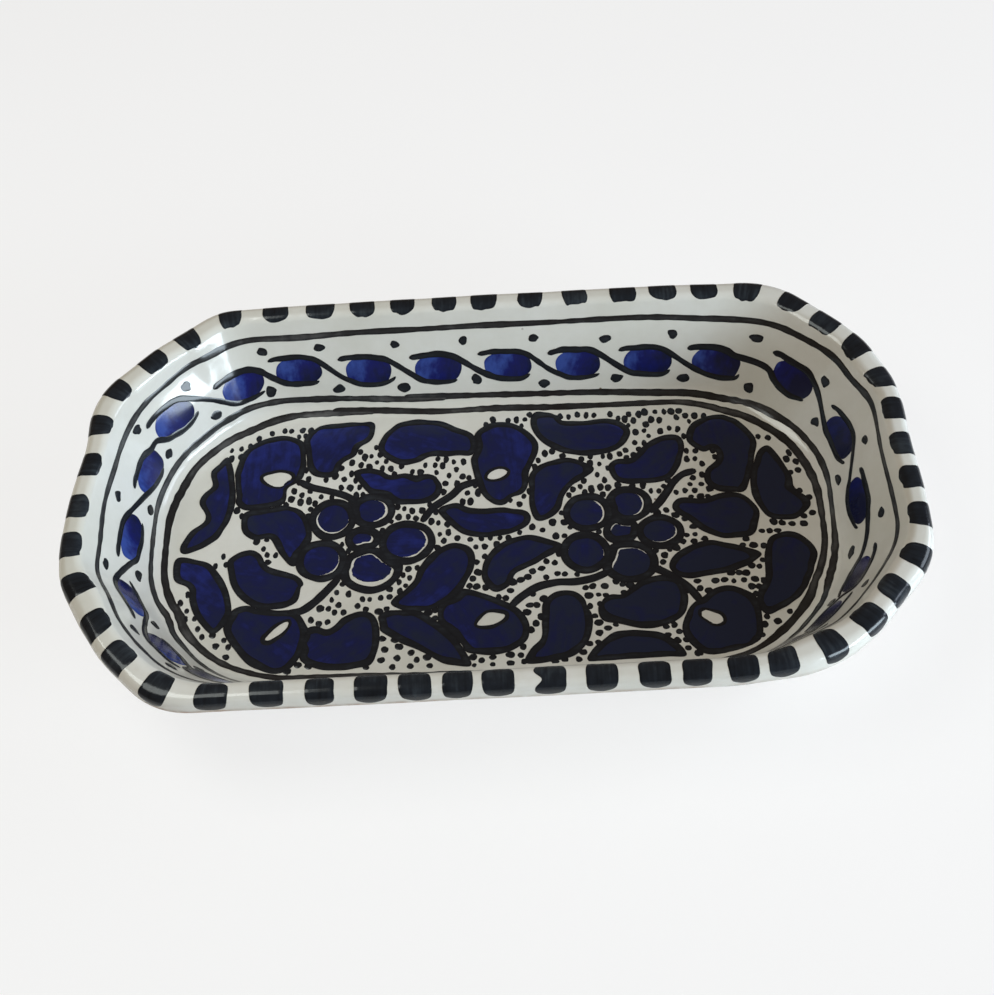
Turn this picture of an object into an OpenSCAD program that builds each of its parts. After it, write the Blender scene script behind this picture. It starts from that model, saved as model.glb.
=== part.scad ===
// Long octagonal olive dish: a red clay body on a foot ring, a white glaze coat over it,
// and brush-painted enamel in black and blue on the lip, the wall and the floor.
// Millimetres, +Z up, origin on the table under the middle of the dish, X along the dish.

/* [Dish] */
// overall length along X
dish_len = 220; // [200:1:240]
// overall width along Y
dish_w = 127; // [118:1:140]
// overall height from the table to the top of the lip
dish_h = 36; // [34:0.5:42]
// how far each corner of the rim is cut back along both sides
corner_cut = 29; // [26:0.5:32]
// rounding of the eight rim vertices
corner_r = 20; // [12:1:34]
// rounding of the corners of the floor
floor_r = 36; // [30:1:37]
// how far each corner of the floor is cut back along both sides
floor_cut = 22; // [20:0.5:24]

/* [Wall] */
// thickness of the wall, square to it, and of the floor
wall_t = 5.5; // [4.8:0.1:6]
// slope of the wall above the floor, in degrees
wall_angle = 63.5; // [62:0.5:70]
// width of the lip on top, before its edges are rounded
lip_w = 5.2; // [4:0.1:6]
// height of the outer face of the lip
lip_h = 5.3; // [4:0.1:7]
// rounding of the lip towards the inside
lip_in_r = 2.6; // [1.5:0.1:3]
// rounding of the lip towards the outside
lip_out_r = 2.2; // [1:0.1:2.4]
// rounding of the lower edge of the lip
lip_low_r = 0.8; // [0.5:0.1:1]
// fillet between wall and floor, inside and outside
foot_fillet = 6; // [4:0.5:7]

/* [Foot] */
// height of the foot ring below the glazed underside
foot_h = 3; // [2:0.5:5]
// width of the foot ring
foot_w = 5; // [4:0.5:7]
// distance of the foot ring inside the rim
foot_inset = 25; // [24:0.5:28]

/* [Glaze and enamel] */
// thickness of the glaze coat
glaze_t = 0.5; // [0.3:0.1:0.8]
// bare strip between the glaze edge and the foot ring
bare_strip = 2; // [1:0.5:3]
// thickness of the painted enamel
enamel_t = 0.25; // [0.15:0.05:0.4]

/* [Lip and wall painting] */
// number of brush marks round the lip
mark_count = 49; // [40:1:54]
// width of a brush mark along the lip
mark_w = 7.5; // [5:0.5:8]
// width of the painted lines
line_w = 1.5; // [1:0.1:2]
// distance of the upper line below the top of the straight wall
upper_line_drop = 4.4; // [2.5:0.1:5]
// distance of the inner floor line inside the outer one
floor_line_gap = 4.5; // [3.5:0.1:4.8]
// distance of the middle of the border below the middle between its lines
border_drop = 1.8; // [0:0.1:2.2]
// number of beads in the border
bead_count = 27; // [22:1:28]
// length of a bead along the border
bead_len = 13.5; // [10:0.5:14]
// height of a bead up the wall
bead_h = 9.5; // [7:0.5:10]
// width of the strokes round the beads
stroke_w = 1.8; // [1.2:0.1:2.2]
// size of the dabs above and below the border
dab_d = 2.8; // [1.5:0.1:3.2]

/* [Floor painting] */
// turn of the whole drawing on the floor, in degrees
drawing_turn = -1.5; // [-2:0.1:2]
// shift of the drawing towards the far side
drawing_shift = 0.5; // [0:0.1:1]
// width of the outlines of leaves and petals
outline_w = 1.7; // [1.2:0.1:2]
// width of the stems
stem_w = 2.1; // [1.6:0.1:2.6]
// size of the ground dots
dot_d = 1.7; // [1.2:0.1:2]
// spacing of the ground dots
dot_pitch = 2.5; // [2.4:0.1:4]

/* [Hidden] */
$fn = 48;
seed = 11;
clay_colour = [0.66, 0.37, 0.24];
glaze_colour = [0.91, 0.90, 0.85];
black_colour = [0.11, 0.12, 0.14];
blue_colour = [0.13, 0.15, 0.46];

half_len = dish_len / 2;
half_w = dish_w / 2;
floor_z = foot_h + wall_t;
slope = 1 / tan(wall_angle);
fillet_run = foot_fillet * tan(wall_angle / 2);
lip_run = lip_in_r * tan(wall_angle / 2);
// insets from the rim where the flat floor and the flat underside begin
flat_inset = lip_w + (dish_h - floor_z) * slope + fillet_run;
base_inset = lip_w + (dish_h - foot_h) * slope - wall_t / sin(wall_angle) + fillet_run;
step_inset = lip_w + lip_h * slope - wall_t / sin(wall_angle);
flat_len = half_len - flat_inset;
flat_w = half_w - flat_inset;
// half sizes of the sheet on which the floor painting is drawn
sheet_len = 88.65;
sheet_w = 41.3;

// Plan outline

function cut_at(i) = i < flat_inset
    ? corner_cut + (floor_cut - corner_cut) * i / flat_inset
    : floor_cut - (2 - sqrt(2)) * (i - flat_inset);
function round_at(i) = let (
        w = i < flat_inset
            ? corner_r + (floor_r - corner_r) * pow(max(i, 0) / flat_inset, 0.6)
            : floor_r - (i - flat_inset))
    min(w, 1.7 * cut_at(i), (half_w - i - cut_at(i)) / tan(22.5) - 0.5);

// one quarter of the outline at inset i: its two rounded vertices, from the end to the side
function quarter(i, n) = let (
        a = half_len - i, b = half_w - i, c = cut_at(i), r = round_at(i), t = r * tan(22.5))
    concat(
        [for (k = [0:n - 1]) [a - r, b - c - t] + r * arc_dir(45 * k / (n - 1))],
        [for (k = [0:n - 1]) [a - c - t, b - r] + r * arc_dir(45 + 45 * k / (n - 1))]);
function arc_dir(w) = [cos(w), sin(w)];
function outline(i, n = 5) = let (q = quarter(i, n), m = len(q) - 1)
    concat(
        q,
        [for (k = [m:-1:0]) [-q[k].x, q[k].y]],
        [for (p = q) -p],
        [for (k = [m:-1:0]) [q[k].x, -q[k].y]]);

// point of the outline at inset i, a share f of the way round from +X towards +Y
function round_lengths(i) = let (r = round_at(i), c = cut_at(i), t = r * tan(22.5))
    [half_w - i - c - t, r * PI / 4, c * sqrt(2) - 2 * t, r * PI / 4, half_len - i - c - t];
function total(v, k = 0) = k == len(v) ? 0 : v[k] + total(v, k + 1);
function loop_len(i) = 4 * total(round_lengths(i));
function edge_point(i, f) = let (
        g = (f - floor(f)) * 4,
        q = floor(g),
        s = (q % 2 == 0 ? g - q : 1 - g + q) * loop_len(i) / 4,
        p = quarter_point(i, s))
    [(q == 0 || q == 3 ? 1 : -1) * p.x, (q < 2 ? 1 : -1) * p.y];
function quarter_point(i, s) = let (
        a = half_len - i, b = half_w - i, c = cut_at(i), r = round_at(i), t = r * tan(22.5),
        l = round_lengths(i), s1 = s - l[0], s2 = s1 - l[1], s3 = s2 - l[2], s4 = s3 - l[3])
    s1 < 0 ? [a, s]
    : s2 < 0 ? [a - r, b - c - t] + r * arc_dir(s1 / r * 180 / PI)
    : s3 < 0 ? [a - r, b - c - t] + r * arc_dir(45) + s2 * arc_dir(135)
    : s4 < 0 ? [a - c - t, b - r] + r * arc_dir(45 + s3 / r * 180 / PI)
    : [a - c - t - s4, b];

// Profile of the glazed surface as [inset, height], from the floor over the lip to the underside

function bend(ci, cz, r, from, to, n, inward = 1) = [for (k = [0:n]) let (w = from + (to - from) * k / n)
    [ci + inward * r * sin(w), cz + r * cos(w)]];
floor_bend = [for (k = [0:4]) let (w = wall_angle * k / 4)
    [flat_inset - foot_fillet * sin(w), floor_z + foot_fillet * (1 - cos(w))]];
lip_in_bend = bend(lip_w - lip_run, dish_h - lip_in_r, lip_in_r, wall_angle, 0, 4);
lip_out_bend = bend(lip_out_r, dish_h - lip_out_r, lip_out_r, 0, 90, 4, -1);
lip_low_bend = bend(lip_low_r, dish_h - lip_h + lip_low_r, lip_low_r, 90, 180, 3, -1);
base_bend = [for (k = [0:4]) let (w = wall_angle * (1 - k / 4))
    [base_inset - foot_fillet * sin(w), foot_h + foot_fillet * (1 - cos(w))]];
glaze_edge = foot_inset - bare_strip;
skin = concat(
    [[flat_inset + 2, floor_z]],
    floor_bend, lip_in_bend, lip_out_bend, lip_low_bend,
    [[max(step_inset, lip_low_r + 0.1), dish_h - lip_h - 0.15]],
    base_bend,
    [[glaze_edge, foot_h]]);

// direction along the profile, and the profile moved into the wall by d
function along(k) = let (
        p = skin[max(k - 1, 0)], q = skin[min(k + 1, len(skin) - 1)], v = [p[0] - q[0], q[1] - p[1]])
    k == 0 ? [1, 0] : k == len(skin) - 1 ? [-1, 0] : v / norm(v);
function inner_skin(d) = [for (k = [0:len(skin) - 1]) skin[k] - d * [along(k)[1], along(k)[0]]];

// distances along the profile, for placing paint
function run(k) = k == 0 ? 0 : run(k - 1) + norm(skin[k] - skin[k - 1]);
skin_run = [for (k = [0:len(skin) - 1]) run(k)];
inset_table = [for (k = [0:len(skin) - 1]) [skin_run[k], skin[k][0]]];
height_table = [for (k = [0:len(skin) - 1]) [skin_run[k], skin[k][1]]];
wall_foot = skin_run[5];
wall_top = skin_run[6];
lip_crown = skin_run[10];
// point of the glaze a share f round the dish and d along the profile, lifted off by h
function on_skin(f, d, h) = let (
        e = 0.2,
        v = [lookup(d - e, inset_table) - lookup(d + e, inset_table),
             lookup(d + e, height_table) - lookup(d - e, height_table)],
        u = v / norm(v),
        p = edge_point(lookup(d, inset_table) + h * u[1], f))
    [p.x, p.y, lookup(d, height_table) + h * u[0]];

border_mid = (wall_foot + wall_top - upper_line_drop) / 2 - border_drop;
border_len = loop_len(lookup(border_mid, inset_table));
stroke_rise = bead_h / 2 + stroke_w / 2 + 0.3;
// dabs beside a bead as [share of the way to the next, share of the rise of the strokes, share of their size]
dab_spots = [[0.38, 1.32, 0.85], [0.47, -0.9, 1.05]];
lip_len = loop_len(lookup(lip_crown, inset_table));

// Solids

// closed skin through rings that follow the profile, with a flat cap at each end
module loft(profile) {
    rings = [for (p = profile) outline(p[0])];
    n = len(rings[0]);
    m = len(profile);
    points = [for (j = [0:m - 1]) for (p = rings[j]) [p.x, p.y, profile[j][1]]];
    sides = [for (j = [0:m - 2]) for (k = [0:n - 1]) let (
            a = j * n + k, b = j * n + (k + 1) % n, c = b + n, d = a + n)
        each [[a, b, c], [a, c, d]]];
    polyhedron(points, concat(
        [[for (k = [n - 1:-1:0]) k]], sides, [[for (k = [0:n - 1]) (m - 1) * n + k]]));
}

// ribbon of paint through cross rows of [share, distance] points; closed rows make a band
module paint(rows, closed = false) {
    m = len(rows);
    n = len(rows[0]);
    low = [for (r = rows) for (p = r) on_skin(p[0], p[1], 0)];
    high = [for (r = rows) for (p = r) on_skin(p[0], p[1], enamel_t)];
    last = closed ? m - 1 : m - 2;
    o = m * n;
    tops = [for (j = [0:last]) for (k = [0:n - 2]) let (a = j * n + k, b = (j + 1) % m * n + k)
        each [[o + a, o + b, o + b + 1], [o + a, o + b + 1, o + a + 1],
              [a, b + 1, b], [a, a + 1, b + 1]]];
    sides = [for (j = [0:last]) for (k = [0, n - 1]) let (a = j * n + k, b = (j + 1) % m * n + k)
        each k == 0 ? [[a, b, o + b], [a, o + b, o + a]] : [[b, a, o + a], [b, o + a, o + b]]];
    ends = closed ? [] : [for (j = [0, m - 1]) for (k = [0:n - 2]) let (a = j * n + k)
        each j == 0 ? [[a + 1, a, o + a], [a + 1, o + a, o + a + 1]]
                    : [[a, a + 1, o + a + 1], [a, o + a + 1, o + a]]];
    polyhedron(concat(low, high), concat(tops, sides, ends));
}

module line_at(d, n = 48) {
    paint([for (k = [0:n - 1]) [[k / n, d - line_w / 2], [k / n, d + line_w / 2]]], true);
}

// Floor drawing on the sheet, each outline through a few points, the outer edge of its black line

leaves = [
    [[-77.2, 27.9], [-75, 20], [-74, 11], [-76, 3], [-80, -2], [-86, -5], [-87.5, -2], [-83.5, 7],
     [-84, 13], [-82, 18], [-81.8, 23.4], [-79.5, 26.6]],
    [[-56, 33], [-61, 35.5], [-67, 34.5], [-72, 31], [-74.5, 25], [-75, 19], [-74, 13],
     [-71, 9.5], [-65, 10], [-59.5, 11.5], [-56.5, 15], [-55, 20], [-54.8, 27]],
    [[-53, 39.4], [-47, 39.6], [-36.5, 39.9], [-36, 36], [-39.5, 31], [-40.5, 27.5], [-44, 25],
     [-45.5, 21.5], [-49, 20.2], [-52.5, 21.5], [-55, 27], [-55.4, 35]],
    [[-33.2, 29], [-32, 34.5], [-28.5, 38.6], [-23, 40.1], [-17, 39.7], [-11, 36.8], [-5.8, 33.5],
     [-6.3, 27], [-12, 26.6], [-18.5, 26.6], [-22.5, 24.4], [-28, 24.2]],
    [[-71, 7.5], [-66, 10.2], [-60, 11], [-55.5, 9.5], [-52.3, 5], [-51.5, -2], [-55, -9.8],
     [-59, -7], [-62.5, -0.8], [-67, -0.8], [-70.6, 2]],
    [[-88, -6.5], [-80, -8.2], [-76, -12.5], [-72.5, -19], [-71.7, -25], [-75, -30.8],
     [-78.5, -29], [-83, -21], [-84, -16.5], [-87.5, -13]],
    [[-74, -9], [-72, -5.8], [-68, -4.5], [-65, -6.2], [-62.5, -10], [-55, -13], [-51, -16.5],
     [-54, -22], [-60, -23.8], [-67, -22], [-71.5, -17]],
    [[-70.5, -23.5], [-66, -22.6], [-60, -24.4], [-54.5, -24.8], [-51.5, -28], [-50.8, -33],
     [-52.5, -38.5], [-58, -41], [-65, -38.6], [-71, -33.5], [-73, -28]],
    [[-41, -27.5], [-37.5, -25.6], [-33.5, -26], [-31.2, -29], [-30.8, -35], [-33, -40.5],
     [-39, -41.7], [-46, -41.5], [-50.5, -39.5], [-52, -35.5], [-49, -31.8], [-44.5, -30.8]],
    [[-40.3, 21.3], [-36.5, 22.8], [-32.5, 21.7], [-30, 20], [-26, 20.2], [-22.5, 18.2], [-19, 20.2],
     [-15.5, 19.5], [-14.5, 15.5], [-17.5, 10.8], [-24.5, 9.8], [-31, 11], [-36, 14.8]],
    [[-11.5, -4], [-7, -5.6], [-5.4, -10], [-7, -15.5], [-10.5, -21], [-16, -24], [-23, -25.2],
     [-28, -23], [-22.5, -17.2], [-20.5, -12], [-16.5, -6.8]],
    [[-30.8, -26.6], [-25.5, -25.3], [-20.5, -26], [-14, -30.2], [-9.5, -35], [-6.3, -41.4],
     [-13, -40.6], [-20, -37], [-25.5, -34], [-30.5, -31]],
    [[-6.5, 27], [-5.5, 33.5], [-2, 37.3], [2, 38.2], [8, 36.4], [12.3, 31], [12.3, 26], [10, 20],
     [9, 13.5], [5, 9.2], [0.5, 8.8], [-3.5, 13], [-5.5, 20]],
    [[11, 38], [13, 41], [19.5, 41.1], [20.3, 38.2], [27, 37.8], [33, 38.2], [37.5, 36.5],
     [39.5, 33], [36.5, 27.5], [31, 25.6], [24, 25.5], [18, 27.6], [13, 32]],
    [[10, 17], [12.5, 21.6], [17, 23.8], [22, 24.3], [28.6, 20.7], [23, 15.4], [20.3, 11.5],
     [18.2, 6.2], [15, 3.4], [12, 3.4], [10.2, 9]],
    [[33, 20.5], [35, 23.1], [39.5, 23.5], [44, 28.5], [48.5, 31.2], [53.5, 31], [54.7, 26.5],
     [52.5, 19.5], [48.5, 15.4], [41, 14.8], [35, 15.6]],
    [[56, 29], [57, 34], [60.5, 37.4], [65, 38.6], [69.5, 37.5], [74, 32.5], [75.6, 27.5], [73.8, 20],
     [71, 11.5], [67, 10.8], [62.5, 11.5], [60, 14.5], [60.8, 18.5], [64.2, 22.5], [63.4, 26], [60, 25.4]],
    [[79, 26.5], [82, 21.5], [84.5, 15], [86, 9], [87, 5], [84, 1.2], [78.5, 1.2], [75.2, 3.2],
     [73, 10], [73, 17], [75.5, 23.5]],
    [[50.5, 5.5], [52.5, 8.8], [59, 8.5], [64, 10.2], [70, 9.8], [73.6, 5], [73.3, 0.5], [71, -4],
     [65, -4.8], [59.5, -2.9], [54.5, 1.2]],
    [[48, -14], [51, -9.8], [55, -6.8], [59.5, -5.6], [64, -6.6], [73, -10.4], [66.5, -15],
     [60, -16.5], [51.5, -17.3]],
    [[75.5, -6], [79, -3.8], [83.5, -4], [87.3, -8], [87.8, -13.5], [85.5, -20], [80.5, -25.5],
     [73, -28.8], [71, -25.3], [73.5, -20.5], [74, -13]],
    [[56.5, -23.5], [60, -20.9], [64.5, -20.7], [69, -23.2], [71, -28], [70.3, -34.5], [67, -38.6],
     [61.5, -40.2], [55.5, -39.8], [51, -35.5], [50, -31.5], [52.5, -27]],
    [[27.5, -26], [30, -23], [36.5, -20.5], [41, -17.3], [46, -16.6], [50.5, -18.6], [51.7, -24.5],
     [49.5, -29.6], [42, -32], [35, -31.1]],
    [[25, -41.1], [26.5, -37.6], [31, -34], [36, -32.9], [41.5, -33.2], [46.5, -35], [50.2, -40.2],
     [43, -40.6], [33, -41]],
    [[13.5, -24], [17, -21], [21.5, -21], [25, -24.5], [26.1, -29.5], [24.5, -36], [19, -40], [9, -41.4],
     [9.5, -38], [12.8, -34], [13, -29]],
    [[-15, -29], [-14.2, -23], [-11, -20], [-6, -19.6], [0, -22], [6, -25.6], [9.4, -30.5], [8, -35.2],
     [3, -38], [-4, -38.4], [-10.5, -36.5], [-14, -33]],
    [[-15.5, 7], [-11, 9.4], [-6.5, 7.8], [-2, 7.2], [4, 7.6], [9, 6], [10, 3], [8, 0.2], [2, -1.9],
     [-4, -2], [-10, 0.2]],
    [[-3.2, -15], [-2, -9], [2, -4.6], [9, -2.2], [14.5, -3.4], [18.8, -6], [15, -9], [9, -12.6],
     [6, -14.5], [4, -18.5], [0, -19.8]]];

// bare slits as [number of the curled leaf, outline of its slit]
eyes = [
    [1, [[-66.5, 20.8], [-62.5, 22.3], [-59, 21.5], [-58.2, 19.8], [-60.3, 17.2], [-64.2, 18.2]]],
    [7, [[-55.8, -28], [-56.3, -30], [-60, -33.2], [-61.5, -32.7], [-58.3, -29.2]]],
    [12, [[-1.8, 18.2], [-0.8, 20.3], [1.2, 21.2], [3.8, 20.2], [2.4, 18.4], [0.2, 17.8]]],
    [21, [[56.3, -28.6], [59.9, -29], [60.8, -30.8], [58.2, -31.2]]],
    [25, [[-4.5, -30], [-2, -27.2], [2.4, -27.2], [2.4, -28.7], [-1, -30.2]]]];

// petals as [centre, half sizes of the outline, shift of the colour, which leaves a bare crescent behind it]
petals = [
    [[-45.6, 5.2], [6.1, 6.7], [0.3, -0.7]],
    [[-34.2, 7.9], [6, 5.4], [-0.6, 0.4]],
    [[-24.2, -3.2], [7.4, 6.7], [-0.6, 0.8]],
    [[-47.8, -8.7], [6.6, 6.6], [0.3, 0.5]],
    [[-34, -12.2], [8.2, 7], [1.1, 0.9]],
    [[-36.6, -1.9], [4.6, 3.9], [0.3, 0.2]],
    [[26.4, 5.2], [6.4, 6.1], [-0.7, -0.5]],
    [[38, 7.6], [6, 5.6], [-0.7, 0.6]],
    [[46.2, -2], [6.2, 5.3], [-0.5, 0.3]],
    [[25.3, -8.1], [6.3, 6.5], [0.3, 0.2]],
    [[37.1, -11.7], [7.2, 6.4], [0.8, 0.3]],
    [[35.4, -1.2], [4.6, 4.2], [0.2, 0.2]]];

// stems from the curled leaves to the blossoms
stems = [
    [[-55.5, 18.5], [-52, 16.6], [-47, 15], [-42.5, 13.2], [-39.5, 11]],
    [[-20, 4], [-17, 8.5], [-12, 12.4], [-9, 15.4], [-5, 17.2]],
    [[-43, -15], [-46, -18.6], [-49, -22.2], [-52.5, -24.6]],
    [[57, 18.6], [53.5, 17.3], [51, 14.8], [49, 11.4], [46.5, 7.8], [44, 5]],
    [[32, -14.5], [27, -16.6], [21.5, -17.8], [16.5, -17.9], [11.5, -19.2], [8, -21.6], [4.5, -25]],
    [[43, -13.5], [48.5, -16.8], [52.5, -20.5], [55.5, -25]]];

// bare places on the ground as [centre, radius]
bare_spots = [[[-79, -4], 4], [[-62, 1], 4], [[-47, 43], 5]];

function on_sheet(p) = let (c = cos(drawing_turn), s = sin(drawing_turn))
    [(c * p.x - s * p.y) * flat_len / sheet_len, (s * p.x + c * p.y) * flat_w / sheet_w + drawing_shift];

// smooth closed curve through points, m steps from each to the next
function smooth(v, m = 4) = let (n = len(v))
    [for (k = [0:n - 1]) for (j = [0:m - 1]) let (
            t = j / m, a = v[(k + n - 1) % n], b = v[k], c = v[(k + 1) % n], d = v[(k + 2) % n])
        b + t / 2 * (c - a + t * (2 * a - 5 * b + 4 * c - d + t * (3 * (b - c) + d - a)))];
// smooth open curve through points
function smooth_open(v, m = 4) = let (n = len(v))
    concat([for (k = [0:n - 2]) for (j = [0:m - 1]) let (
            t = j / m, a = v[max(k - 1, 0)], b = v[k], c = v[k + 1], d = v[min(k + 2, n - 1)])
        b + t / 2 * (c - a + t * (2 * a - 5 * b + 4 * c - d + t * (3 * (b - c) + d - a)))], [v[n - 1]]);
function unit(v) = v / max(norm(v), 0.001);
function turned(v) = [-v.y, v.x];
// closed curve moved sideways by d, to its left
function moved(v, d) = let (n = len(v))
    [for (k = [0:n - 1]) v[k] + d * turned(unit(v[(k + 1) % n] - v[(k + n - 1) % n]))];
function area(v) = let (n = len(v))
    total([for (k = [0:n - 1]) let (a = v[k], b = v[(k + 1) % n]) (a.x * b.y - a.y * b.x) / 2]);
function grown(v, d) = moved(v, area(v) > 0 ? -d : d);
function edge_gap(p, a, b) = norm(p - a - (b - a) * min(max((p - a) * (b - a) / ((b - a) * (b - a)), 0), 1));
function gap_to(p, v) = let (n = len(v)) min([for (k = [0:n - 1]) edge_gap(p, v[k], v[(k + 1) % n])]);
// closed curve drawn in by d, without the points that would cross over in tight bends
function drawn_in(v, d) = [for (p = grown(v, -d)) if (gap_to(p, v) > 0.97 * d) p];
function inside(p, v) = let (n = len(v))
    total([for (k = [0:n - 1]) let (a = v[k], b = v[(k + 1) % n])
        (a.y > p.y) != (b.y > p.y) && p.x < a.x + (p.y - a.y) / (b.y - a.y) * (b.x - a.x) ? 1 : 0]) % 2 == 1;
function box_of(v) = [min([for (p = v) p.x]), max([for (p = v) p.x]), min([for (p = v) p.y]), max([for (p = v) p.y])];
function near_box(p, b, d) = p.x > b[0] - d && p.x < b[1] + d && p.y > b[2] - d && p.y < b[3] + d;

// bare gap between the outline of a petal and its colour
colour_gap = 0.1;
// curves that give way to the ones before them, so that no two outlines run into each other
paint_gap = 0.3;
// and so that none leaves the flat floor
drawing_edge = outline(flat_inset - 0.3);
function is_free(p, others) = inside(p, drawing_edge) && len([for (o = others)
    if (near_box(p, o[1], paint_gap)) if (inside(p, o[0]) || gap_to(p, o[0]) < paint_gap) 1]) == 0;
function give_way(p, inward, others, step = 0) =
    step > 4 || is_free(p + step * inward, others) ? p + step * inward : give_way(p, inward, others, step + 0.2);
function settled(v, others) = let (n = len(v), side = area(v) > 0 ? 1 : -1)
    [for (k = [0:n - 1]) give_way(v[k], side * turned(unit(v[(k + 1) % n] - v[(k + n - 1) % n])), others)];
function settle(curves, done, k = 0) = k == len(curves) ? done
    : settle(curves, concat(done, [let (v = settled(curves[k], done)) [v, box_of(v)]]), k + 1);

drawn_petals = [for (p = petals) [for (w = [0:15:345]) on_sheet(p[0] + [p[1].x * cos(w), p[1].y * sin(w)])]];
drawn_leaves = [for (l = leaves) smooth([for (p = l) on_sheet(p)])];
settled_curves = settle(concat(drawn_petals, drawn_leaves), []);
petal_curves = [for (k = [0:len(petals) - 1]) settled_curves[k][0]];
leaf_curves = [for (k = [0:len(leaves) - 1]) settled_curves[len(petals) + k][0]];
// stems stop short of the leaves and petals that they reach
function stands_off(p, d) = len([for (o = settled_curves)
    if (near_box(p, o[1], d)) if (inside(p, o[0]) || gap_to(p, o[0]) < d) 1]) == 0;
stem_paths = [for (l = stems)
    [for (p = smooth_open([for (q = l) on_sheet(q)], 8)) if (stands_off(p, stem_w / 2 + paint_gap)) p]];
stem_curves = [for (v = stem_paths) let (n = len(v) - 1,
        side = [for (k = [0:n]) stem_w / 2 * turned(unit(v[min(k + 1, n)] - v[max(k - 1, 0)]))])
    concat([for (k = [0:n]) v[k] - side[k]], [for (k = [n:-1:0]) v[k] + side[k]])];
outlines = concat(settled_curves, [for (v = stem_curves) [v, box_of(v)]]);
eye_curves = [for (e = eyes) smooth([for (p = e[1]) on_sheet(p)], 3)];
eye_edges = [for (v = eye_curves) grown(v, outline_w / 2)];

// flat shape between an outer curve and the curves of its holes
module between(outer, holes) {
    loops = concat([outer], holes);
    starts = [for (k = [0:len(loops)]) total([for (j = [0:k - 1]) if (j < k) len(loops[j])])];
    polygon([for (v = loops) each v],
        [for (k = [0:len(loops) - 1]) [for (j = [0:len(loops[k]) - 1]) starts[k] + j]]);
}

module on_floor() {
    translate([0, 0, floor_z]) linear_extrude(height = enamel_t) children();
}

// Ground dots: a jittered grid, keeping those that stand clear of every outline

dot_room = dot_d / 2 + 0.1;
function is_clear(p) = len([for (o = outlines)
    if (near_box(p, o[1], dot_room)) if (inside(p, o[0]) || gap_to(p, o[0]) < dot_room) 1]) == 0;
floor_curve = outline(flat_inset + dot_room);
function is_ground(p) = inside(p, floor_curve)
    && len([for (s = bare_spots) if (norm(p - on_sheet(s[0])) < s[1]) 1]) == 0;
dot_rows = floor(flat_w / dot_pitch / 0.87);
dot_columns = floor(flat_len / dot_pitch);
dot_count = (2 * dot_rows + 1) * (2 * dot_columns + 1);
// each dot strays from the grid by no more than keeps it off its neighbours
dot_stray = (dot_pitch - dot_d - 0.1) / 2 / sqrt(2);
jitter = rands(-dot_stray, dot_stray, 2 * dot_count, seed);
dots = [for (r = [-dot_rows:dot_rows]) for (c = [-dot_columns:dot_columns]) let (
        k = (r + dot_rows) * (2 * dot_columns + 1) + c + dot_columns,
        p = [(c + (r % 2 == 0 ? 0 : 0.5)) * dot_pitch + jitter[2 * k],
             r * dot_pitch * 0.87 + jitter[2 * k + 1]])
    if (is_ground(p) && is_clear(p)) p];

module clay_body() {
    color(clay_colour) loft(inner_skin(glaze_t));
}

module foot_ring() {
    color(clay_colour) linear_extrude(height = foot_h + glaze_t) difference() {
        polygon(outline(foot_inset));
        polygon(outline(foot_inset + foot_w));
    }
}

module glaze_coat() {
    low = inner_skin(glaze_t);
    color(glaze_colour) loft(concat(skin, [for (k = [len(low) - 1:-1:0]) low[k]]));
}

// marks reach from the inner edge of the lip over its crown and part way down the outer face
module rim_marks() {
    marks_from = wall_top + 0.6;
    marks_to = skin_run[15] + 1.6;
    color(black_colour) for (k = [0:mark_count - 1]) let (f = (k + 0.5) / mark_count) {
        paint([for (j = [0:4]) let (d = marks_from + (marks_to - marks_from) * j / 4)
            [for (e = [1, 0, -1]) [f + e * mark_w / 2 / lip_len * (j == 0 || j == 4 ? 0.8 : 1), d]]]);
    }
}

module upper_line() {
    color(black_colour) line_at(wall_top - upper_line_drop);
}

module border_beads() {
    n = 5;
    color(blue_colour) for (k = [0:bead_count - 1]) let (f = (k + 0.5) / bead_count) {
        paint([for (j = [0:n]) let (w = 12 + 156 * j / n) [for (e = [1, -1])
            [f - bead_len / 2 * cos(w) / border_len, border_mid - e * bead_h / 2 * sin(w)]]]);
    }
}

// each stroke rises over one bead, crosses the gap and runs on under the next
module border_strokes() {
    pitch = border_len / bead_count;
    rise = stroke_rise;
    path = smooth_open([[-0.3, 0.75], [-0.14, 1], [0.05, 1], [0.3, 0.72], [0.5, 0],
        [0.7, -0.72], [0.95, -1], [1.14, -1], [1.28, -0.8]], 1);
    color(black_colour) for (k = [0:bead_count - 1]) let (f = (k + 0.5) / bead_count) {
        paint([for (j = [0:len(path) - 1]) let (
                p = path[j], q = path[min(j + 1, len(path) - 1)], o = path[max(j - 1, 0)],
                s = stroke_w / 2 * turned(unit([(q.x - o.x) * pitch, (q.y - o.y) * rise])))
            [for (e = [1, -1]) [f - (p.x * pitch + e * s.x) / border_len, border_mid + p.y * rise + e * s.y]]]);
    }
}

module border_dabs() {
    color(black_colour) for (k = [0:bead_count - 1]) for (spot = dab_spots) let (
            f = (k + 0.5 - spot[0]) / bead_count, d = border_mid + spot[1] * stroke_rise, r = spot[2] * dab_d / 2) {
        paint([for (j = [0:2]) let (w = 45 + 45 * j) [for (s = [1, -1])
            [f - r * cos(w) / border_len, d - s * r * sin(w)]]]);
    }
}

module outer_floor_line() {
    color(black_colour) line_at(wall_foot);
}

module inner_floor_line() {
    color(black_colour) line_at(wall_foot - floor_line_gap);
}

module petal_colour() {
    color(blue_colour) on_floor() for (k = [0:len(petals) - 1]) {
        colour_edge = drawn_in(petal_curves[k], outline_w + colour_gap);
        intersection() {
            polygon(colour_edge);
            translate(petals[k][2]) polygon(colour_edge);
        }
    }
}

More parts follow.
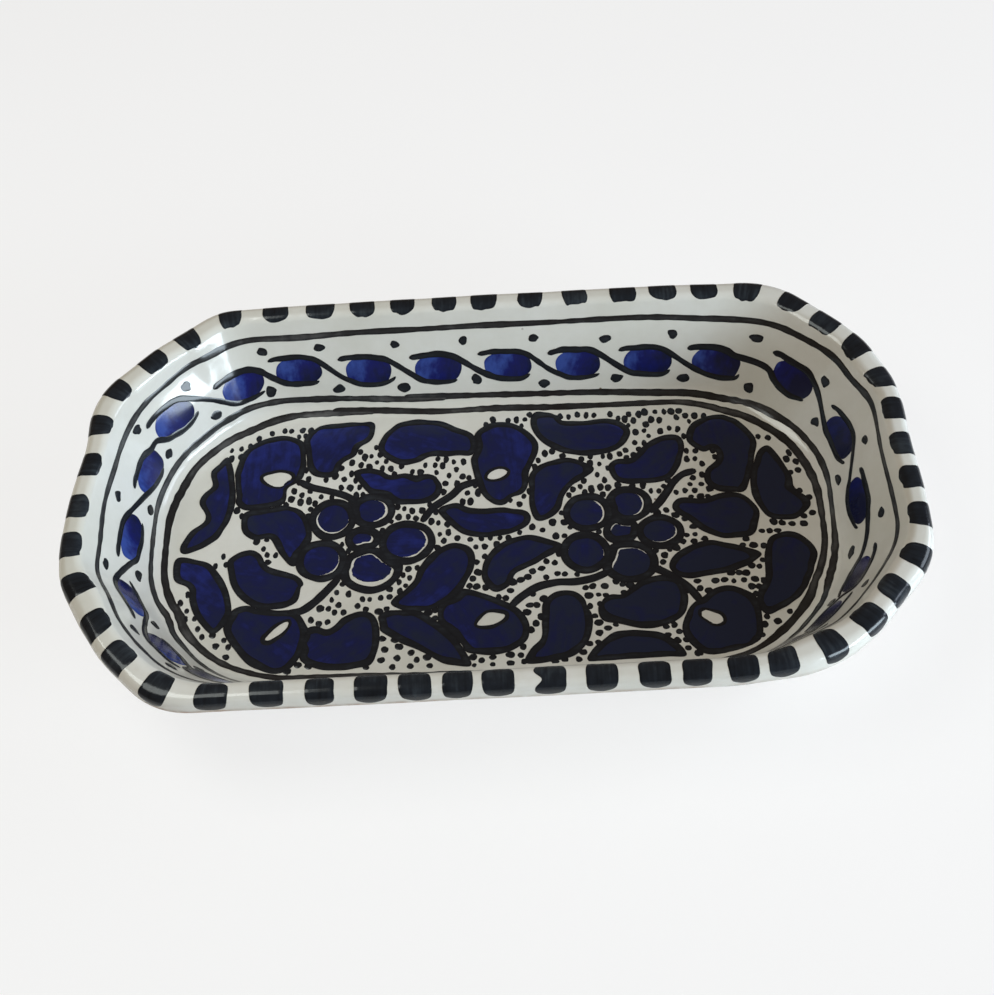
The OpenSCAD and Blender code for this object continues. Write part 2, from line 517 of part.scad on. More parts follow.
module leaf_colour() {
    color(blue_colour) on_floor() for (k = [0:len(leaves) - 1]) {
        between(drawn_in(leaf_curves[k], outline_w), [for (e = [0:len(eyes) - 1]) if (eyes[e][0] == k) eye_edges[e]]);
    }
}

module leaf_outlines() {
    color(black_colour) on_floor() {
        for (v = leaf_curves) between(v, [drawn_in(v, outline_w)]);
        for (k = [0:len(eyes) - 1]) between(eye_edges[k], [eye_curves[k]]);
    }
}

module petal_outlines() {
    color(black_colour) on_floor() for (v = petal_curves) between(v, [drawn_in(v, outline_w)]);
}

module stem_strokes() {
    color(black_colour) on_floor() for (v = stem_curves) polygon(v);
}

module floor_dots() {
    color(black_colour) for (p = dots) translate([p.x, p.y, floor_z]) cylinder(d = dot_d, h = enamel_t);
}

clay_body();
foot_ring();
glaze_coat();
rim_marks();
upper_line();
border_beads();
border_strokes();
border_dabs();
outer_floor_line();
inner_floor_line();
petal_colour();
leaf_colour();
petal_outlines();
leaf_outlines();
stem_strokes();
floor_dots();
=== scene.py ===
import math

import bpy
import numpy as np
from mathutils import Matrix, Vector
from mathutils.geometry import delaunay_2d_cdt


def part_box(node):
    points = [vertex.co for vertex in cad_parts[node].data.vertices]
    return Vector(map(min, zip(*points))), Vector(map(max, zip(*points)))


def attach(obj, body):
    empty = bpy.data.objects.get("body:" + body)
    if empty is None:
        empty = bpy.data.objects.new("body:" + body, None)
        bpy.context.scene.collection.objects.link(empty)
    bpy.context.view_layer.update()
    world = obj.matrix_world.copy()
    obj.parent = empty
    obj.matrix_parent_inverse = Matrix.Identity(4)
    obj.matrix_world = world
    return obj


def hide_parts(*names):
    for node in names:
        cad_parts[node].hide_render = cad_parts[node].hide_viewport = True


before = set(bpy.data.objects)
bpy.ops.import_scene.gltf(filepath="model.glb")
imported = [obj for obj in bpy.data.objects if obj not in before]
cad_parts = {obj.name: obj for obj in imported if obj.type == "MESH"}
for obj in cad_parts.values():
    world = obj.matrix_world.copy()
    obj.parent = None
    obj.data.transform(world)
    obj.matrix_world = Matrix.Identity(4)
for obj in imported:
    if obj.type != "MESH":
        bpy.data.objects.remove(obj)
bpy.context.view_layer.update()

# Lengths are millimetres until a mesh is made.
MM = 0.001
TAU = 2 * math.pi


def box_mm(node):
    low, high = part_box(node)
    return np.array(low) / MM, np.array(high) / MM


# Sizes of the dish, from the CAD where they can be measured
glaze_low, glaze_high = box_mm("glaze_coat")
foot_high = box_mm("foot_ring")[1]
HALF_LEN, HALF_W, RIM_Z = glaze_high
BASE_Z = glaze_low[2]
FLOOR_Z = box_mm("floor_dots")[0][2]
FOOT_INSET = HALF_LEN - foot_high[0]
FOOT_W = 5.0
GLAZE_T = 0.5
CORNER_CUT, FLOOR_CUT, CORNER_R, FLOOR_R = 29.0, 22.0, 20.0, 36.0
WALL_ANGLE = math.radians(63.5)
WALL_T, LIP_W, LIP_H = 5.5, 5.2, 5.3
LIP_IN_R, LIP_OUT_R, LIP_LOW_R, FILLET = 2.6, 2.2, 0.8, 6.0
SLOPE = 1 / math.tan(WALL_ANGLE)
WALL_ACROSS = WALL_T / math.sin(WALL_ANGLE)
BEND_RUN = FILLET * math.tan(WALL_ANGLE / 2)
FLAT = LIP_W + (RIM_Z - FLOOR_Z) * SLOPE + BEND_RUN
UNDER = LIP_W + (RIM_Z - BASE_Z) * SLOPE - WALL_ACROSS + BEND_RUN
STEP = LIP_W + LIP_H * SLOPE - WALL_ACROSS
TAN = math.tan(math.pi / 8)
C45 = math.sqrt(0.5)

# The hand of the maker. The lip was pressed in at most of its corners, and the painted lines wander.
# Each row is a share of the way round the lip, the spread of the bump as a share too, and its height.
PRESSED_IN = [
    (0.01, 0.02, 0.7), (0.052, 0.016, 2.2), (0.13, 0.02, 0.6), (0.394, 0.012, 1.4), (0.44, 0.065, 2.4),
    (0.472, 0.02, 1.4), (0.557, 0.018, 3.0), (0.884, 0.022, 2.6), (0.935, 0.022, 1.8)]
UPPER_WANDER = [
    (0.04, 0.06, 1.6), (0.135, 0.025, -1.4), (0.345, 0.02, -0.6), (0.4, 0.015, 0.9), (0.45, 0.02, -0.8),
    (0.523, 0.018, -1.5), (0.56, 0.012, 1.0), (0.92, 0.03, 0.5)]
OUTER_WANDER = [
    (0.14, 0.11, -1.6), (0.14, 0.04, -1.4), (0.385, 0.06, 1.7), (0.55, 0.03, -3.0), (0.86, 0.025, 2.0),
    (0.965, 0.05, -3.2)]
INNER_WANDER = [
    (0.03, 0.04, -0.5), (0.135, 0.045, -1.4), (0.21, 0.04, -0.6), (0.33, 0.035, 1.2), (0.42, 0.03, 0.8),
    (0.55, 0.025, -1.3), (0.67, 0.04, -0.5), (0.78, 0.07, 1.3), (0.86, 0.03, 0.3), (0.955, 0.04, -1.7)]


def bumps(share, rows):
    """Sum of smooth bumps at a share of the way round."""
    total = np.zeros(np.shape(share))
    for at, spread, height in rows:
        gap = (share - at + 0.5) % 1 - 0.5
        total = total + height * np.exp(-((gap / spread) ** 2))
    return total


def field(seed, waves, low, high, dims=2):
    """A smooth random function of position, of about -1 to 1, from plane waves low to high mm long."""
    pick = np.random.default_rng(seed)
    way = pick.normal(size=(waves, dims))
    way *= TAU / pick.uniform(low, high, (waves, 1)) / np.linalg.norm(way, axis=1, keepdims=True)
    phase = pick.uniform(0, TAU, waves)
    return lambda p: np.sin(np.asarray(p) @ way.T + phase).sum(-1) / math.sqrt(waves)


def ripple(pick, terms, first=1):
    """A smooth random function of an angle, of about -1 to 1."""
    k = np.arange(first, first + terms)
    size = pick.normal(size=terms) / np.sqrt(k)
    size /= np.linalg.norm(size)
    phase = pick.uniform(0, TAU, terms)
    return lambda w: np.sin(np.multiply.outer(w, k) + phase) @ size


# Plan outline


def plan(inset, share):
    """Point of the outline at an inset from the rim, a share of the way round from +X towards +Y."""
    inset, share = np.broadcast_arrays(np.asarray(inset, float), np.asarray(share, float))
    a, b = HALF_LEN - inset, HALF_W - inset
    deep = np.maximum(inset - FLAT, 0)
    part = np.clip(inset / FLAT, 0, 1)
    cut = CORNER_CUT + (FLOOR_CUT - CORNER_CUT) * np.minimum(inset / FLAT, 1) - (2 - math.sqrt(2)) * deep
    r = CORNER_R + (FLOOR_R - CORNER_R) * part**0.6 - deep
    r = np.minimum(np.minimum(r, 1.7 * cut), (b - cut) / TAN - 0.5)
    t = r * TAN
    l0, l1, l2, l4 = b - cut - t, r * math.pi / 4, cut * math.sqrt(2) - 2 * t, a - cut - t
    g = (share % 1) * 4
    q = np.minimum(np.floor(g), 3)
    s = np.where(q % 2 == 0, g - q, 1 - g + q) * (l0 + 2 * l1 + l2 + l4)
    s1, s2 = s - l0, s - l0 - l1
    s3, s4 = s2 - l2, s2 - l2 - l1
    w1, w2 = np.clip(s1 / r, 0, math.pi / 4), math.pi / 4 + np.clip(s3 / r, 0, math.pi / 4)
    first, run = s3 < 0, C45 * np.clip(s2, 0, None)
    x = np.where(first, a - r + r * np.cos(w1) - run, a - cut - t + r * np.cos(w2) - np.clip(s4, 0, None))
    y = np.where(s1 < 0, s, b - cut - t + r * np.sin(w1) + run)
    y = np.where(first, y, b - r + r * np.sin(w2))
    return np.where((q == 0) | (q == 3), x, -x), np.where(q < 2, y, -y)


def runs(points):
    return np.r_[0, np.cumsum(np.hypot(*np.diff(points, axis=0).T))]


# Shares are counted along the line at this inset. What lies square to it, up or down the wall, has
# one share.
LIP_LINE = 7.0
QUARTER = np.linspace(0, 0.25, 401)
INSETS = np.linspace(-1, 33, 35)


def square_table():
    """For each inset, the share of its own outline that lies square to each share of the lip line."""
    line = np.c_[plan(LIP_LINE, QUARTER)]
    way = np.gradient(line, axis=0)
    way /= np.linalg.norm(way, axis=1, keepdims=True)
    rows = []
    for inset in INSETS:
        p = np.c_[plan(inset, QUARTER)]
        k = ((p[:, None] - line) ** 2).sum(-1).argmin(1)
        lag = ((p - line[k]) * way[k]).sum(1) / (4 * runs(line)[-1])
        foot = np.maximum.accumulate(np.clip(QUARTER[k] + lag, 0, 0.25))
        rows.append(np.interp(QUARTER, foot, QUARTER))
    return np.array(rows)


SQUARE = square_table()


def around(inset, share):
    """Point of the outline at an inset, square to a share of the lip line."""
    inset, share = np.broadcast_arrays(np.asarray(inset, float), np.asarray(share, float))
    g = (share % 1) * 4
    q = np.minimum(np.floor(g), 3)
    odd = q % 2 == 1
    part = np.where(odd, q + 1 - g, g - q) * (len(QUARTER) - 1)
    row = np.clip(inset - INSETS[0], 0, len(INSETS) - 1.001)
    i, j = np.minimum(part.astype(int), len(QUARTER) - 2), row.astype(int)
    u, v = part - i, row - j
    low = (1 - u) * SQUARE[j, i] + u * SQUARE[j, i + 1]
    high = (1 - u) * SQUARE[j + 1, i] + u * SQUARE[j + 1, i + 1]
    s = 4 * ((1 - v) * low + v * high)
    return plan(inset, np.where(odd, q + 1 - s, q + s) / 4)


# Profile of the glazed surface as inset and height, from the floor over the lip to the underside


def arc(middle, top, radius, start, end, steps, side=1):
    w = np.radians(np.linspace(start, end, steps + 1))
    return np.c_[middle + side * radius * np.sin(w), top + radius * np.cos(w)]


floor_w = np.linspace(0, WALL_ANGLE, 15)
floor_bend = np.c_[FLAT - FILLET * np.sin(floor_w), FLOOR_Z + FILLET * (1 - np.cos(floor_w))]
lip_in_mid = LIP_W - LIP_IN_R * math.tan(WALL_ANGLE / 2)
lip_in = arc(lip_in_mid, RIM_Z - LIP_IN_R, LIP_IN_R, math.degrees(WALL_ANGLE), 0, 10)
lip_out = arc(LIP_OUT_R, RIM_Z - LIP_OUT_R, LIP_OUT_R, 0, 90, 10, -1)
lip_low = arc(LIP_LOW_R, RIM_Z - LIP_H + LIP_LOW_R, LIP_LOW_R, 90, 180, 6, -1)
under_w = np.linspace(WALL_ANGLE, 0, 12)
under_bend = np.c_[UNDER - FILLET * np.sin(under_w), BASE_Z + FILLET * (1 - np.cos(under_w))]
corners = np.vstack([
    [[FLAT + 2, FLOOR_Z]], floor_bend, lip_in, lip_out, lip_low,
    [[max(STEP, LIP_LOW_R + 0.1), RIM_Z - LIP_H - 0.15]], under_bend, [[FOOT_INSET - 2, BASE_Z]]])

# Distances run along the profile, and where its parts end on it
SKIN_RUN = runs(corners)
bend_end = len(floor_bend)
lip_end = bend_end + len(lip_in) + len(lip_out)
WALL_FOOT, WALL_TOP = SKIN_RUN[bend_end], SKIN_RUN[bend_end + 1]
LIP_EDGE = SKIN_RUN[lip_end]
LIP_UNDER = SKIN_RUN[lip_end + len(lip_low) - 1]
SKIN_END = SKIN_RUN[-1]
UPPER_LINE, OUTER_LINE, INNER_LINE = WALL_TOP - 4.4, WALL_FOOT, WALL_FOOT - 4.5
BORDER = (OUTER_LINE + UPPER_LINE) / 2 - 1.8


def inset_at(d):
    return np.interp(d, SKIN_RUN, corners[:, 0])


def height_at(d):
    return np.interp(d, SKIN_RUN, corners[:, 1])


# The glaze lies in slow waves a tenth of a millimetre deep, and the lip isn't quite level. The spare
# inset keeps all of it inside the size of the CAD.
wave = field(3, 9, 18, 60, 3)
sway = field(5, 5, 90, 200, 2)
WAVE_DEEP = 0.05
SPARE = 0.25
SAG, SAG_SWAY = 0.2, 0.18
# A shallow dent turns the glaze of the far left wall up to the window: its share round the dish, its
# distance along the profile, its spreads along the wall and up it, and its strength
DENT_SHARE, DENT_RUN = 0.411, 24.0
DENT_LONG, DENT_TALL, DENT_DEEP = 0.014, 6.0, 0.62
# Half the distance over which the slope of the profile is taken
SLOPE_STEP = 0.2


def dent(share, d):
    along, up = (share - DENT_SHARE) / DENT_LONG, (d - DENT_RUN) / DENT_TALL
    return -DENT_DEEP * up * np.exp(-(up**2) - along**2)


def rise_share(z):
    return np.clip((z - FLOOR_Z) / (RIM_Z - FLOOR_Z), 0, 1)


def handmade(p):
    """The small unevenness of a dish pressed by hand, which never reaches outside the drawn size."""
    drop = SAG + SAG_SWAY * sway(p[:, :2])
    return p - np.c_[np.zeros((len(p), 2)), drop * rise_share(p[:, 2]) ** 2]


def on_skin(share, d, h):
    """Points of the glaze a share round the dish and d along its profile, lifted off by h."""
    share, d, h = (np.ravel(v) for v in np.broadcast_arrays(share, d, h))
    out = inset_at(d - SLOPE_STEP) - inset_at(d + SLOPE_STEP)
    up = height_at(d + SLOPE_STEP) - height_at(d - SLOPE_STEP)
    size = np.hypot(out, up)
    out, up = out / size, up / size
    z = height_at(d)
    pressed = (bumps(share, PRESSED_IN) + SPARE) * rise_share(z)
    x, y = around(inset_at(d) + pressed, share)
    h = h + WAVE_DEEP * wave(np.c_[x, y, z]) + dent(share, d)
    x, y = around(inset_at(d) + pressed + h * up, share)
    return handmade(np.c_[x, y, z + h * out])


def on_floor(xy, h):
    """Points of the glaze on the floor, lifted off by h."""
    xyz = np.c_[xy, np.full(len(xy), FLOOR_Z)]
    xyz[:, 2] += h + WAVE_DEEP * wave(xyz)
    return handmade(xyz)


def track(d):
    """Shares round the dish and the lengths run to them, along the wall at d."""
    share = np.linspace(0, 1, 1601)
    return share, runs(np.c_[around(inset_at(d), share)])


def on_wall(share, d, path):
    """Places drawings with x clockwise along the wall at d and y up the wall."""
    shares, lengths = path
    start = np.interp(share % 1, shares, lengths)

    def place(xy, h):
        at = np.interp((start - xy[:, 0]) % lengths[-1], lengths, shares)
        return on_skin(at, d + xy[:, 1], h)

    return place


# Meshes


def make(name, verts, faces, node, material, marks=None):
    """A piece that stands for a node of the CAD. Marks are values at its points that its material uses."""
    mesh = bpy.data.meshes.new(name)
    mesh.from_pydata((np.asarray(verts) * MM).tolist(), [], faces)
    for key, values in (marks or {}).items():
        values = np.asarray(values, np.float32)
        kind, entry = ("FLOAT_VECTOR", "vector") if values.ndim == 2 else ("FLOAT", "value")
        mesh.attributes.new(key, kind, "POINT").data.foreach_set(entry, values.ravel())
    mesh.polygons.foreach_set("use_smooth", np.ones(len(mesh.polygons), bool))
    mesh.materials.append(material)
    mesh.validate()
    piece = bpy.data.objects.new(name, mesh)
    bpy.context.scene.collection.objects.link(piece)
    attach(piece, "root")
    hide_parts(node)
    return piece


class Paint:
    """Gathers the brush marks of one painted layer into one mesh."""

    def __init__(self, seed):
        self.pick = np.random.default_rng(seed)
        self.verts, self.brush, self.tone, self.edge, self.faces = [], [], [], [], []
        self.count = 0

    def add(self, verts, faces, brush, tone, edge):
        self.verts.append(verts)
        self.brush.append(brush)
        self.tone.append(np.broadcast_to(tone, len(verts)))
        self.edge.append(np.broadcast_to(edge, len(verts)))
        self.faces += [[self.count + i for i in f] for f in faces]
        self.count += len(verts)

    def pad(self, loops, place, lift, pitch=0.8, low=-0.02, roll=0.5, grain=0.0, tone=None):
        """A patch of paint inside the first loop and outside the others, thin at its edges."""
        pitch *= 1
        start = np.vstack(loops)
        end = np.vstack([np.roll(v, -1, 0) for v in loops])
        (x0, y0), (x1, y1) = start.min(0), start.max(0)
        gx, gy = np.meshgrid(np.arange(x0, x1, pitch), np.arange(y0, y1, pitch * 0.87))
        gx[1::2] += pitch / 2
        grid = np.c_[gx.ravel(), gy.ravel()] + self.pick.uniform(-0.12, 0.12, (gx.size, 2)) * pitch
        grid = grid[inside(grid, start, end)]
        grid = grid[edge_gap(grid, start, end) > 0.5 * pitch]
        links, first = [], 0
        for v in loops:
            links += [(first + k, first + (k + 1) % len(v)) for k in range(len(v))]
            first += len(v)
        found = delaunay_2d_cdt([Vector(p) for p in np.vstack([start, grid])], links, [], 0, 1e-6, False)
        xy = np.array([tuple(p) for p in found[0]])
        faces = np.array([list(f) for f in found[2]])
        faces = faces[inside(xy[faces].mean(1), start, end)]
        a, b, c = (xy[faces[:, k]] for k in range(3))
        back = (b - a)[:, 0] * (c - a)[:, 1] < (b - a)[:, 1] * (c - a)[:, 0]
        faces[back] = faces[back][:, ::-1]
        gap = edge_gap(xy, start, end)
        t = np.clip(gap / roll, 0, 1)
        h = low + (lift - low) * np.sqrt(t * (2 - t))
        c, s = math.cos(grain), math.sin(grain)
        own = np.full(len(xy), self.pick.uniform(0, 90))
        brush = np.c_[c * xy[:, 0] + s * xy[:, 1], c * xy[:, 1] - s * xy[:, 0], own]
        self.add(place(xy, h), faces.tolist(), brush, 0.5 if tone is None else tone(xy), gap)

    def stroke(self, path, width, place, lift, low=-0.02, tone=0.5, across=7):
        """A brush stroke of a varying width along a path."""
        n = len(path)
        way = np.gradient(path, axis=0)
        way /= np.maximum(np.linalg.norm(way, axis=1, keepdims=True), 1e-9)
        side = np.c_[-way[:, 1], way[:, 0]]
        e = np.sin(np.linspace(-math.pi / 2, math.pi / 2, across))
        xy = (path[:, None] + side[:, None] * (e[None, :, None] * width[:, None, None] / 2)).reshape(-1, 2)
        h = np.tile(low + (lift - low) * np.sqrt(1 - e**2), n)
        own = np.full(n * across, self.pick.uniform(0, 90))
        brush = np.c_[np.repeat(runs(path), across), (e[None] * width[:, None] / 2).ravel(), own]
        faces = []
        for j in range(n - 1):
            p, q = j * across, (j + 1) * across
            faces += [[p + i, q + i, q + i + 1, p + i + 1] for i in range(across - 1)]
        edge = ((1 - np.abs(e))[None] * width[:, None] / 2).ravel()
        self.add(place(xy, h), faces, brush, np.repeat(np.broadcast_to(tone, n), across), edge)

    def finish(self, name, slot, material):
        marks = {
            "brush": np.vstack(self.brush),
            "tone": np.concatenate(self.tone),
            "edge": np.concatenate(self.edge)}
        return make(name + "_paint", np.vstack(self.verts), self.faces, name, material, marks)


def inside(p, start, end):
    """Which points lie inside loops given by the starts and ends of their sides."""
    x, y = p[:, :1], p[:, 1:]
    a, b = start[None], end[None]
    cross = (a[..., 1] > y) != (b[..., 1] > y)
    drop = np.where(np.abs(b[..., 1] - a[..., 1]) < 1e-12, 1e-12, b[..., 1] - a[..., 1])
    return (cross & (x < a[..., 0] + (y - a[..., 1]) / drop * (b[..., 0] - a[..., 0]))).sum(1) % 2 == 1


def edge_gap(p, start, end):
    """How far points lie from the nearest side of the loops."""
    if not len(p):
        return np.zeros(0)
    way = end - start
    t = ((p[:, None] - start) * way).sum(-1) / np.maximum((way**2).sum(-1), 1e-12)
    near = start + np.clip(t, 0, 1)[..., None] * way
    return np.linalg.norm(p[:, None] - near, axis=-1).min(1)


def smooth(loop, step, closed=True):
    """Smooth curve through points, resampled about every step."""
    n = len(loop)
    get = (lambda k: loop[k % n]) if closed else (lambda k: loop[min(max(k, 0), n - 1)])
    out = []
    for k in range(n if closed else n - 1):
        a, b, c, d = get(k - 1), get(k), get(k + 1), get(k + 2)
        m = max(1, int(np.linalg.norm(c - b) / step + 0.5))
        t = np.arange(m)[:, None] / m
        out.append(b + t / 2 * (c - a + t * (2 * a - 5 * b + 4 * c - d + t * (3 * (b - c) + d - a))))
    if not closed:
        out.append(loop[-1:])
    return np.vstack(out)


def outward(loop):
    """The way out of a loop at each of its points."""
    way = np.roll(loop, -1, 0) - np.roll(loop, 1, 0)
    way /= np.maximum(np.linalg.norm(way, axis=1, keepdims=True), 1e-9)
    x, y = loop.T
    side = np.c_[way[:, 1], -way[:, 0]]
    return side if (x * np.roll(y, -1) - y * np.roll(x, -1)).sum() > 0 else -side


def patches(node):
    """The separate patches of a flat CAD node, each as the loops round its upper face."""
    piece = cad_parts[node]
    co = np.array([piece.matrix_world @ v.co for v in piece.data.vertices]) / MM
    keys, ids = np.unique(np.round(co, 3), axis=0, return_inverse=True)
    ids = ids.ravel()
    top = keys[:, 2].max()
    piece.data.calc_loop_triangles()
    tris = [[int(ids[i]) for i in t.vertices] for t in piece.data.loop_triangles]
    tris = [t for t in tris if all(abs(keys[i, 2] - top) < 0.01 for i in t) and len(set(t)) == 3]
    owner = {}

    def root(i):
        while owner.setdefault(i, i) != i:
            i = owner[i]
        return i

    halves = set()
    for t in tris:
        for a, b in zip(t, t[1:] + t[:1]):
            owner[root(a)] = root(b)
            halves.add((a, b))
    after = {a: b for a, b in sorted(halves) if (b, a) not in halves}
    groups = {}
    while after:
        first, k = next(iter(after.items()))
        del after[first]
        loop = [first]
        while k != first:
            loop.append(k)
            k = after.pop(k)
        groups.setdefault(root(first), []).append(keys[loop][:, :2])
    found = [sorted(g, key=lambda v: -runs(v)[-1]) for g in groups.values()]
    return sorted(found, key=lambda g: (round(g[0][:, 0].mean(), 2), round(g[0][:, 1].mean(), 2)))


# Materials


class Shader:
    """A node material with one Principled shader."""

    def __init__(self, name, roughness):
        self.mat = bpy.data.materials.new(name)
        self.mat.use_nodes = True
        self.tree = self.mat.node_tree
        self.out = self.tree.nodes["Principled BSDF"]
        self.out.inputs["Roughness"].default_value = roughness

    def node(self, kind, inputs=None, **options):
        node = self.tree.nodes.new(kind)
        for key, value in options.items():
            setattr(node, key, value)
        for key, value in (inputs or {}).items():
            self.put(node.inputs[key], value)
        return node

    def put(self, socket, value):
        if isinstance(value, bpy.types.NodeSocket):
            self.tree.links.new(value, socket)
        else:
            socket.default_value = value

    def place(self):
        return self.node("ShaderNodeTexCoord").outputs["Object"]

    def attribute(self, name, entry="Fac"):
        return self.node("ShaderNodeAttribute", attribute_name=name).outputs[entry]

    def noise(self, vector, scale, detail=3.0, stretch=(1, 1, 1), rough=0.55):
        moved = self.node("ShaderNodeMapping", {"Vector": vector, "Scale": stretch}).outputs[0]
        settings = {"Vector": moved, "Scale": scale, "Detail": detail, "Roughness": rough}
        return self.node("ShaderNodeTexNoise", settings).outputs["Fac"]

    def ramp(self, value, *stops):
        node = self.node("ShaderNodeValToRGB", {"Fac": value})
        points = node.color_ramp.elements
        while len(points) < len(stops):
            points.new(0.5)
        for point, (at, colour) in zip(points, stops):
            point.position = at
            point.color = (*colour, 1)
        return node.outputs["Color"]

    def math(self, kind, a, b=0.0, clamp=False):
        return self.node("ShaderNodeMath", {0: a, 1: b}, operation=kind, use_clamp=clamp).outputs[0]

    def mix(self, share, a, b):
        node = self.node("ShaderNodeMix", data_type="RGBA")
        self.put(node.inputs[0], share)
        for socket, value in ((node.inputs[6], a), (node.inputs[7], b)):
            self.put(socket, value if isinstance(value, bpy.types.NodeSocket) else (*value, 1))
        return node.outputs[2]

    def span(self, value, low, high, out_low=0.0, out_high=1.0):
        settings = {0: value, 1: low, 2: high, 3: out_low, 4: out_high}
        return self.node("ShaderNodeMapRange", settings).outputs[0]

    def bump(self, height, strength, distance):
        settings = {"Height": height, "Strength": strength, "Distance": distance}
        return self.node("ShaderNodeBump", settings).outputs[0]

    def set(self, **inputs):
        for key, value in inputs.items():
            self.put(self.out.inputs[key.replace("_", " ")], value)
        return self.mat


def glaze_material():
    s = Shader("glaze_white", 0.12)
    at = s.place()
    cloud = s.noise(at, 38, 4)
    body = s.ramp(
        cloud, (0.3, (0.70, 0.695, 0.635)), (0.5, (0.755, 0.75, 0.70)), (0.72, (0.80, 0.80, 0.765)))
    body = s.mix(s.span(s.noise(at, 420, 3), 0.3, 0.75, 0.0, 0.14), body, (0.60, 0.57, 0.49))
    # stray pinholes and specks
    speck = s.node("ShaderNodeTexVoronoi", {"Vector": at, "Scale": 150.0}).outputs["Distance"]
    hole = s.math("MULTIPLY", s.span(speck, 0.075, 0.045), s.span(s.noise(at, 75, 1), 0.62, 0.66))
    body = s.mix(hole, body, (0.16, 0.11, 0.07))
    # the clay shows through where the glaze ran thin
    thin = s.math("MULTIPLY", s.attribute("thin"), s.span(s.noise(at, 160, 4), 0.3, 0.62), True)
    body = s.mix(thin, body, (0.30, 0.15, 0.075))
    rough = s.span(s.noise(at, 90, 3), 0.3, 0.7, 0.07, 0.16)
    normal = s.bump(s.noise(at, 230, 3), 0.1, 0.0004)
    return s.set(Base_Color=body, Roughness=rough, Normal=normal)


def enamel(name, dark, mid, pale, streak, swing=0.5, pool=0.35, rough=0.15):
    """Brush-painted enamel: streaks along the stroke, darker where it pooled at the edges.

    Streak is how fine the brush hairs are, swing how much they show and pool how dark the edges are.
    """
    s = Shader(name, rough)
    s.out.inputs["Specular IOR Level"].default_value = 0.35
    brush = s.attribute("brush", "Vector")
    hairs = s.noise(brush, 1.0, 2, (0.09 * streak, 1.2 * streak, 1.0), 0.5)
    cloud = s.noise(brush, 1.0, 3, (0.22, 0.28, 1.0))
    load = s.math("ADD", s.attribute("tone"), s.span(hairs, 0.25, 0.75, -swing / 2, swing / 2))
    load = s.math("ADD", load, s.span(cloud, 0.25, 0.75, -0.3, 0.3))
    load = s.math("ADD", load, s.span(s.attribute("edge"), 0.0, 0.7, pool, 0.0))
    colour = s.ramp(load, (0.08, pale), (0.5, mid), (0.95, dark))
    return s.set(Base_Color=colour, Normal=s.bump(hairs, 0.03, 0.0003))


def clay_material():
    s = Shader("bare_clay", 0.88)
    at = s.place()
    cloud = s.noise(at, 60, 5)
    body = s.ramp(
        cloud, (0.3, (0.30, 0.135, 0.07)), (0.55, (0.40, 0.19, 0.105)), (0.75, (0.47, 0.24, 0.14)))
    grit = s.node("ShaderNodeTexVoronoi", {"Vector": at, "Scale": 700.0}).outputs["Distance"]
    body = s.mix(s.span(grit, 0.16, 0.05, 0.0, 0.5), body, (0.2, 0.09, 0.05))
    return s.set(Base_Color=body, Normal=s.bump(s.noise(at, 900, 4), 0.5, 0.0006))


glaze = glaze_material()
clay = clay_material()
mark_black = enamel(
    "mark_black", (0.007, 0.010, 0.014), (0.014, 0.019, 0.026), (0.035, 0.045, 0.055),
    streak=1.0, swing=0.4, pool=0.15)
line_black = enamel(
    "line_black", (0.016, 0.016, 0.017), (0.032, 0.033, 0.035), (0.09, 0.09, 0.09),
    streak=0.8, swing=0.4)
brush_black = enamel(
    "brush_black", (0.010, 0.012, 0.016), (0.014, 0.017, 0.022), (0.03, 0.036, 0.044),
    streak=0.8, swing=0.4)
bead_blue = enamel(
    "bead_blue", (0.008, 0.011, 0.045), (0.008, 0.012, 0.12), (0.035, 0.07, 0.30),
    streak=0.8, swing=0.15, pool=0.1)
leaf_blue = enamel(
    "leaf_blue", (0.015, 0.022, 0.050), (0.010, 0.015, 0.072), (0.016, 0.026, 0.17),
    streak=0.7, swing=0.25, pool=0.1)

# Clay body, foot ring and glaze coat

AROUND = 480
FLOOR_RINGS = 30
# Room between clay and glaze, and the round edge of the foot ring
CLAY_ROOM = 0.02
FOOT_R = 0.9


def rings(profile, share, h=0.0):
    return np.vstack([on_skin(share, d, h) for d in profile])


def sides(first, rows, n):
    """Faces between rows of n points that each close in a ring."""
    out = []
    for j in range(rows - 1):
        low, high = first + j * n, first + (j + 1) * n
        out += [[low + k, high + k, high + (k + 1) % n, low + (k + 1) % n] for k in range(n)]
    return out


def fine_runs(step):
    """Distances along the profile: every corner of it, and steps along its straight lengths."""
    out = []
    for a, b in zip(SKIN_RUN[1:-1], SKIN_RUN[2:]):
        m = max(1, int((b - a) / step + 0.5))
        out += list(a + (b - a) * np.arange(m) / m)
    return np.array(out + [SKIN_END])


